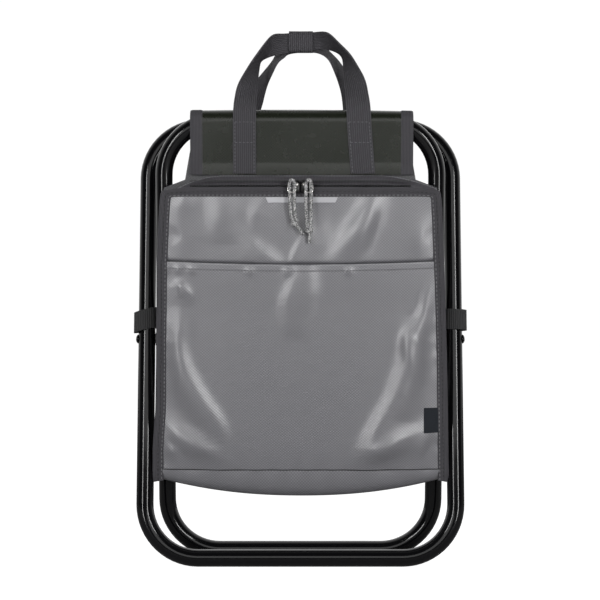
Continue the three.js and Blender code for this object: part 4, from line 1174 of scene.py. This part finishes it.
def build_patches():
    rows = np.linspace(0, 1, num=6)[:, None]
    x = ACROSS[:, ::4] * (TAB_HALF + TAB_FLARE * rows)
    z = TAB_LOW + TAB_HEIGHT * rows
    tab = sheet(on_bag(x, panel_out(x, z) - TAB_PROUD, z), thickness=0.9)
    piece("front_tab_patch", [tab], TAB_PLASTIC, "bag_front", instead_of=["front_tab"])
    label_out = pocket_out(LABEL_ACROSS, LABEL_UP) - LABEL_PROUD
    label = sheet(on_bag(LABEL_ACROSS, label_out, LABEL_UP), thickness=0.7)
    piece("side_label_patch", [label], LABEL_CLOTH, "bag_front", instead_of=["side_label"])


def bag_bend():
    return ("inner_frame", "bag_front", *(on_bag(0, 0, 0) + place * INNER.back for place in BAG_BEND))


def trough(half_depth, top, depth):
    """Out and up of the bag's round bottom, from its front to its back."""
    turn = np.cos(BOTTOM_TURN)
    out = (BACK_PLANE + POCKET_PLANE) / 2 - half_depth * np.sign(turn) * np.abs(turn) ** 0.75
    return out, top - depth * np.sin(BOTTOM_TURN) ** 0.9


def bottom_depth():
    """How far the bag's bottom hangs below the seam, from left to right."""
    rise = BOTTOM_RISE * np.abs(BOTTOM_ACROSS / BOTTOM_RISE_AT) ** 2.2
    return BAG_SEAM - (BOTTOM_LOWEST + rise)


def build_bottom():
    x = BOTTOM_ACROSS
    y, z = trough(BAG_HALF_DEPTH + BAG_CLOTH, BAG_SEAM + BOTTOM_LAP, bottom_depth() + BOTTOM_LAP)
    turn = np.cos(BOTTOM_TURN)
    gather = gathers(BOTTOM_GATHERS, 0, x) * np.exp(-GATHER_FADE * np.sin(BOTTOM_TURN))
    y = y - gather * turn - crown(x, BAG_SEAM) * np.clip(turn, 0, 1) ** 0.75
    bottom = piece("bag_bottom_cloth", [sheet(on_bag(x, y, z), BOTTOM_CLOTH)], GREY_CLOTH,
                   bend=bag_bend(), instead_of=["bag_bottom_panel"])
    x = x[0, ::2]
    # Painted shadow: a thin dark tube in the groove along the bottom seam, for the shade of the seam's fold
    seam = tube(on_bag(x, pocket_out(x, BAG_SEAM) - BOTTOM_CLOTH, BAG_SEAM + SEAM_SHADOW_UP), SEAM_SHADOW_RADIUS, sides=8)
    piece("bag_seam_painted_shadow", [seam], DARK_THREAD_AND_SHADOW, "bag_front")


def build_bottom_pad():
    y, z = trough(BAG_HALF_DEPTH - PAD_INSET, BAG_SEAM - PAD_BELOW, bottom_depth() - PAD_ABOVE_BOTTOM)
    foam = sheet(on_bag(BOTTOM_ACROSS * PAD_SHARE, y, z), PAD_THICKNESS)
    pad = piece("bag_bottom_pad", [foam], FOAM, bend=bag_bend(),
                instead_of=["bag_bottom_foam"])


def build_walls():
    part = np.linspace(0, 1, num=15)[None, :]
    arch = np.sin(math.pi * part)
    foot = BAG_SEAM + BOTTOM_LAP - WALL_DEPTH * (1 - WALL_ROUND + WALL_ROUND * arch)
    z = foot + (BAG_TOP - WALL_BELOW_TOP - foot) * np.linspace(0, 1, num=60)[:, None]
    y = BACK_PLANE - WALL_BACK + (FRONT_PLANE + WALL_FRONT - BACK_PLANE) * part
    sunk = WALL_SUNK * arch ** 2 + WALL_WAVE * np.sin(z / WALL_WAVE_LENGTH) * arch
    for name, side in SIDES:
        wall = sheet(on_bag(side * (bag_half(z) - WALL_INSET - sunk), y, z), BAG_CLOTH)
        piece("bag_side_" + name, [wall], GREY_CLOTH, bend=bag_bend(),
              instead_of=["bag_gusset_" + name])


def build_bag_top():
    half = BAG_HALF_TOP - CLOTH_INSET
    x = np.linspace(-half, half, num=121)[None, :]
    section = curve(RIM_SECTION, steps=5)
    y, z = section[:, :1], section[:, 1:]
    drop = np.where(x < 0, RIM_DROP_LEFT, RIM_DROP_RIGHT) * ramp(np.abs(x), *RIM_DROP_RAMP)
    wavy = RIM_WAVE * np.sin(x / RIM_WAVE_PITCH + np.sin(x / RIM_WAVE_DRIFT))
    wavy = wavy * np.clip(1 - np.abs(y - RIM_WAVE_MIDDLE) / RIM_WAVE_REACH, 0, 1)
    strip = sheet(on_bag(x, y, z - drop + wavy), BAG_CLOTH)
    piece("bag_rim", [strip], RIM_TAPE_PAINTED_LIGHT, bend=bag_bend(), instead_of=["bag_top_strip"])
    # Painted highlight: a thin tube of the lighter grey cloth along the rim's top edge, where the folded
    # edge catches the light
    top = section[section[:, 1].argmax()]
    line = on_bag(x[0], top[0] - RIM_HIGHLIGHT_FORWARD, top[1] + RIM_HIGHLIGHT_RADIUS / 2 - drop[0])
    rim_highlight = tube(line, RIM_HIGHLIGHT_RADIUS, sides=8)
    piece("bag_rim_painted_highlight", [rim_highlight], GREY_CLOTH, bend=bag_bend())
    share = np.linspace(0, 1, num=24)[:, None]
    x = np.linspace(-1, 1, num=41)[None, :] * (HANGER_HALF_TOP + HANGER_FLARE * share)
    top = INNER.reach - HANGER_BELOW_RAIL
    cloth = sheet(INNER.at(x, HANGER_PLANE, top + (HANGER_LOW - top) * share), HANGER_CLOTH)
    hanger = piece("hanger_cloth", [cloth], DARK_CLOTH, "inner_frame",
                   instead_of=["hanger_panel"])


def build_bag():
    build_bag_front()
    build_binding()
    build_patches()
    build_bottom()
    build_walls()
    build_bag_top()
    build_bottom_pad()
    dress("bag_back_panel", DARK_CLOTH)
    for side in ("front", "back"):
        dress(f"bag_{side}_foam", FOAM)
        dress(f"bag_{side}_liner", LINER)


# Zip, sliders and cord pulls

def flat_line(points, steps, x=0):
    """A smooth line through places across and up, in the plane of the pulls' cords."""
    line = curve(points, steps)
    return INNER.at(x + line[:, 0], CORD_PLANE, line[:, 1])


def cord(name, line, body):
    """One free strand of a pull: a curve that starts at the bail."""
    places = flat_line(line, steps=9) * MM
    data = bpy.data.curves.new(name, "CURVE")
    data.dimensions = "3D"
    data.bevel_depth = CORD_RADIUS * MM
    data.bevel_resolution = 5
    data.use_fill_caps = True
    spline = data.splines.new("POLY")
    spline.points.add(len(places) - 1)
    for point, place in zip(spline.points, places):
        point.co = (*place, 1)
    data.materials.append(BRAID)
    made = placed(name, data)
    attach(made, body)
    return made, places


def build_pull(name, x, first, second, tail):
    pull = "zip_pull_" + name
    ring = curve(BAIL, steps=5)[:-1]
    ends = [level for _, level in BAIL]
    depth = np.interp(ring[:, 1], [min(ends), max(ends)], [CORD_PLANE - BAIL_PROUD, BAIL_TOP_PLANE])
    wire = INNER.at(x + ring[:, 0], depth, ring[:, 1])
    bail = tube(wire, BAIL_RADIUS, sides=10, closed=True, across=INNER.back)
    piece("zip_bail_wire_" + name, [bail], NICKEL, pull, instead_of=["zip_bail_" + name])
    knot_x = tail[0][0] + KNOT_HALF_WIDTH * np.cos(KNOT_TURN) + KNOT_SWAY * np.sin(KNOT_TURN / 2)
    knot_y = CORD_PLANE + KNOT_HALF_DEPTH * np.sin(KNOT_TURN)
    knot_z = tail[0][1] + np.linspace(KNOT_HALF_HEIGHT, -KNOT_HALF_HEIGHT, len(KNOT_TURN))
    knot_line = INNER.at(knot_x, knot_y, knot_z)
    lines = ((knot_line, CORD_RADIUS), (flat_line(tail, steps=6), CORD_RADIUS),
             (flat_line(HITCH, steps=5, x=x), HITCH_RADIUS))
    parts = [tube(line, radius, sides=12) for line, radius in lines]
    knot = piece("zip_knot_" + name, parts, BRAID, pull, instead_of=["zip_cord_" + name])
    for letter, line, others in (("a", first, [knot]), ("b", second, [])):
        made, places = cord(f"zip_strand_{name}_{letter}", line, pull)


def build_slider(name, x):
    inward = -math.copysign(1, x)
    start, end = sorted((x - SLIDER_OUT * inward, x + SLIDER_IN * inward))
    spans = (
        (start, end, SLIDER_FRONT),
        (start + SLIDER_BACK_INSET, end - SLIDER_BACK_INSET, SLIDER_BACK),
        (x - BRIDGE_HALF, x + BRIDGE_HALF, SLIDER_BRIDGE),
    )
    blocks = []
    for left, right, (low, high, bevel) in spans:
        blocks.append(block(INNER, (left, *low), (right, *high), bevel))
    body = "zip_slider_" + name
    piece("zip_slider_body_" + name, blocks, DARK_METAL, body, instead_of=[body])
    across, out, up = NOSE_PLACE
    nose = lathe(NOSE_PROFILE, INNER.at(x + across * inward, out, up), (-inward, 0, 0), sides=16)
    piece("zip_slider_nose_" + name, [nose], NICKEL, body)


def build_zip():
    turns = np.linspace(0, 2 * ZIP_HALF / ZIP_PITCH * 2 * math.pi, ZIP_STEPS)
    x = np.linspace(-ZIP_HALF, ZIP_HALF, ZIP_STEPS)
    helix = INNER.at(x, ZIP_PLANE + COIL_RADIUS * np.cos(turns), ZIP_LEVEL + COIL_RADIUS * np.sin(turns))
    coil = tube(helix, COIL_WIRE, sides=6)
    piece("zip_teeth", [coil], ZIP_PLASTIC, "bag_front", instead_of=["zip_coil"])
    for node in ("zip_tape_front", "zip_tape_rear"):
        dress(node, BLACK_WEB)
    for name, (x, *lines) in PULLS.items():
        build_slider(name, x)
        build_pull(name, x, *lines)


# Side straps round the outer loop

def build_straps():
    turn = np.radians(STRAP_TURN)
    away = np.exp(-((STRAP_TURN - STRAP_BOW_AT) / STRAP_BOW_SPREAD) ** 2)
    reach = TUBE_RADIUS + STRAP_GAP + STRAP_BOW * away
    x = np.maximum(reach * np.cos(turn), -TUBE_RADIUS - STRAP_BEHIND)
    for name, side in SIDES:
        places = OUTER.at(side * (OUTER_HALF + x), reach * np.sin(turn), STRAP_UP - STRAP_SLANT[name] * x)
        piece("side_strap_band_" + name, [sheet(places, STRAP_THICKNESS)], BLACK_WEB,
              "outer_frame", instead_of=["side_strap_" + name])


# Studio

def area_light(name, place, size, power):
    data = bpy.data.lights.new(name, "AREA")
    data.shape = "RECTANGLE"
    data.size, data.size_y = size
    data.energy = power
    made = placed(name, data)
    made.location = place
    x, y, z = np.array(LIGHT_TARGET) - np.array(place)
    made.rotation_euler = (math.atan2(math.hypot(x, y), -z), 0, math.atan2(y, x) - math.pi / 2)


def empty_tree(owner):
    """The node tree of a material or a world, emptied."""
    owner.use_nodes = True
    owner.node_tree.nodes.clear()
    return owner.node_tree


def build_world():
    world = bpy.data.worlds.new("studio")
    bpy.context.scene.world = world
    tree = empty_tree(world)
    soft = add(tree, "Background", Color=WHITE, Strength=WORLD_LEVEL)
    bright = add(tree, "Background", Color=WHITE, Strength=BACKDROP_LEVEL)
    shiny = add(tree, "Background", Color=WHITE)
    split = add(tree, "SeparateXYZ")
    tree.links.new(add(tree, "TexCoord").outputs["Generated"], split.inputs[0])
    level = span(tree, split.outputs["Y"], start=-0.25, end=0.35, low=0.04, high=1.0)
    tree.links.new(level, shiny.inputs["Strength"])
    path = add(tree, "LightPath").outputs
    mirrored = [path["Is Glossy Ray"], path["Is Transmission Ray"]]
    mirrored = wired(tree, "Math", mirrored, {"operation": "MAXIMUM"})
    unseen = wired(tree, "MixShader", [mirrored, soft.outputs[0], shiny.outputs[0]])
    seen = wired(tree, "MixShader", [path["Is Camera Ray"], unseen, bright.outputs[0]])
    tree.links.new(seen, add(tree, "OutputWorld").inputs["Surface"])


def build_floor():
    mesh = bpy.data.meshes.new("floor")
    corners = FLOOR_SIDE * np.array([(-1, -1, 0), (1, -1, 0), (1, 1, 0), (-1, 1, 0)])
    mesh.from_pydata(corners.tolist(), [], [(0, 1, 2, 3)])
    look = bpy.data.materials.new("floor")
    tree = empty_tree(look)
    paper = add(tree, "BsdfDiffuse", Color=FLOOR_COLOR)
    glow = add(tree, "Emission", Strength=FLOOR_GLOW)
    dark = add(tree, "Emission", Strength=0.0)
    camera_ray = add(tree, "LightPath").outputs["Is Camera Ray"]
    seen = wired(tree, "MixShader", [camera_ray, dark.outputs[0], glow.outputs[0]])
    both = wired(tree, "AddShader", [paper.outputs[0], seen])
    tree.links.new(both, add(tree, "OutputMaterial").inputs["Surface"])
    mesh.materials.append(look)
    placed("floor", mesh)


def build_camera():
    data = bpy.data.cameras.new("camera")
    data.lens = CAMERA_LENS
    data.sensor_width = CAMERA_SENSOR
    camera = placed("camera", data)
    camera.location = CAMERA_PLACE
    camera.rotation_euler = (math.radians(90), 0, 0)
    bpy.context.scene.camera = camera
    bpy.context.scene.view_settings.view_transform = "Standard"


build_frame()
build_seat()
build_handles()
build_bag()
build_zip()
build_straps()
build_world()
build_floor()
for light in LIGHTS:
    area_light(*light)
build_camera()
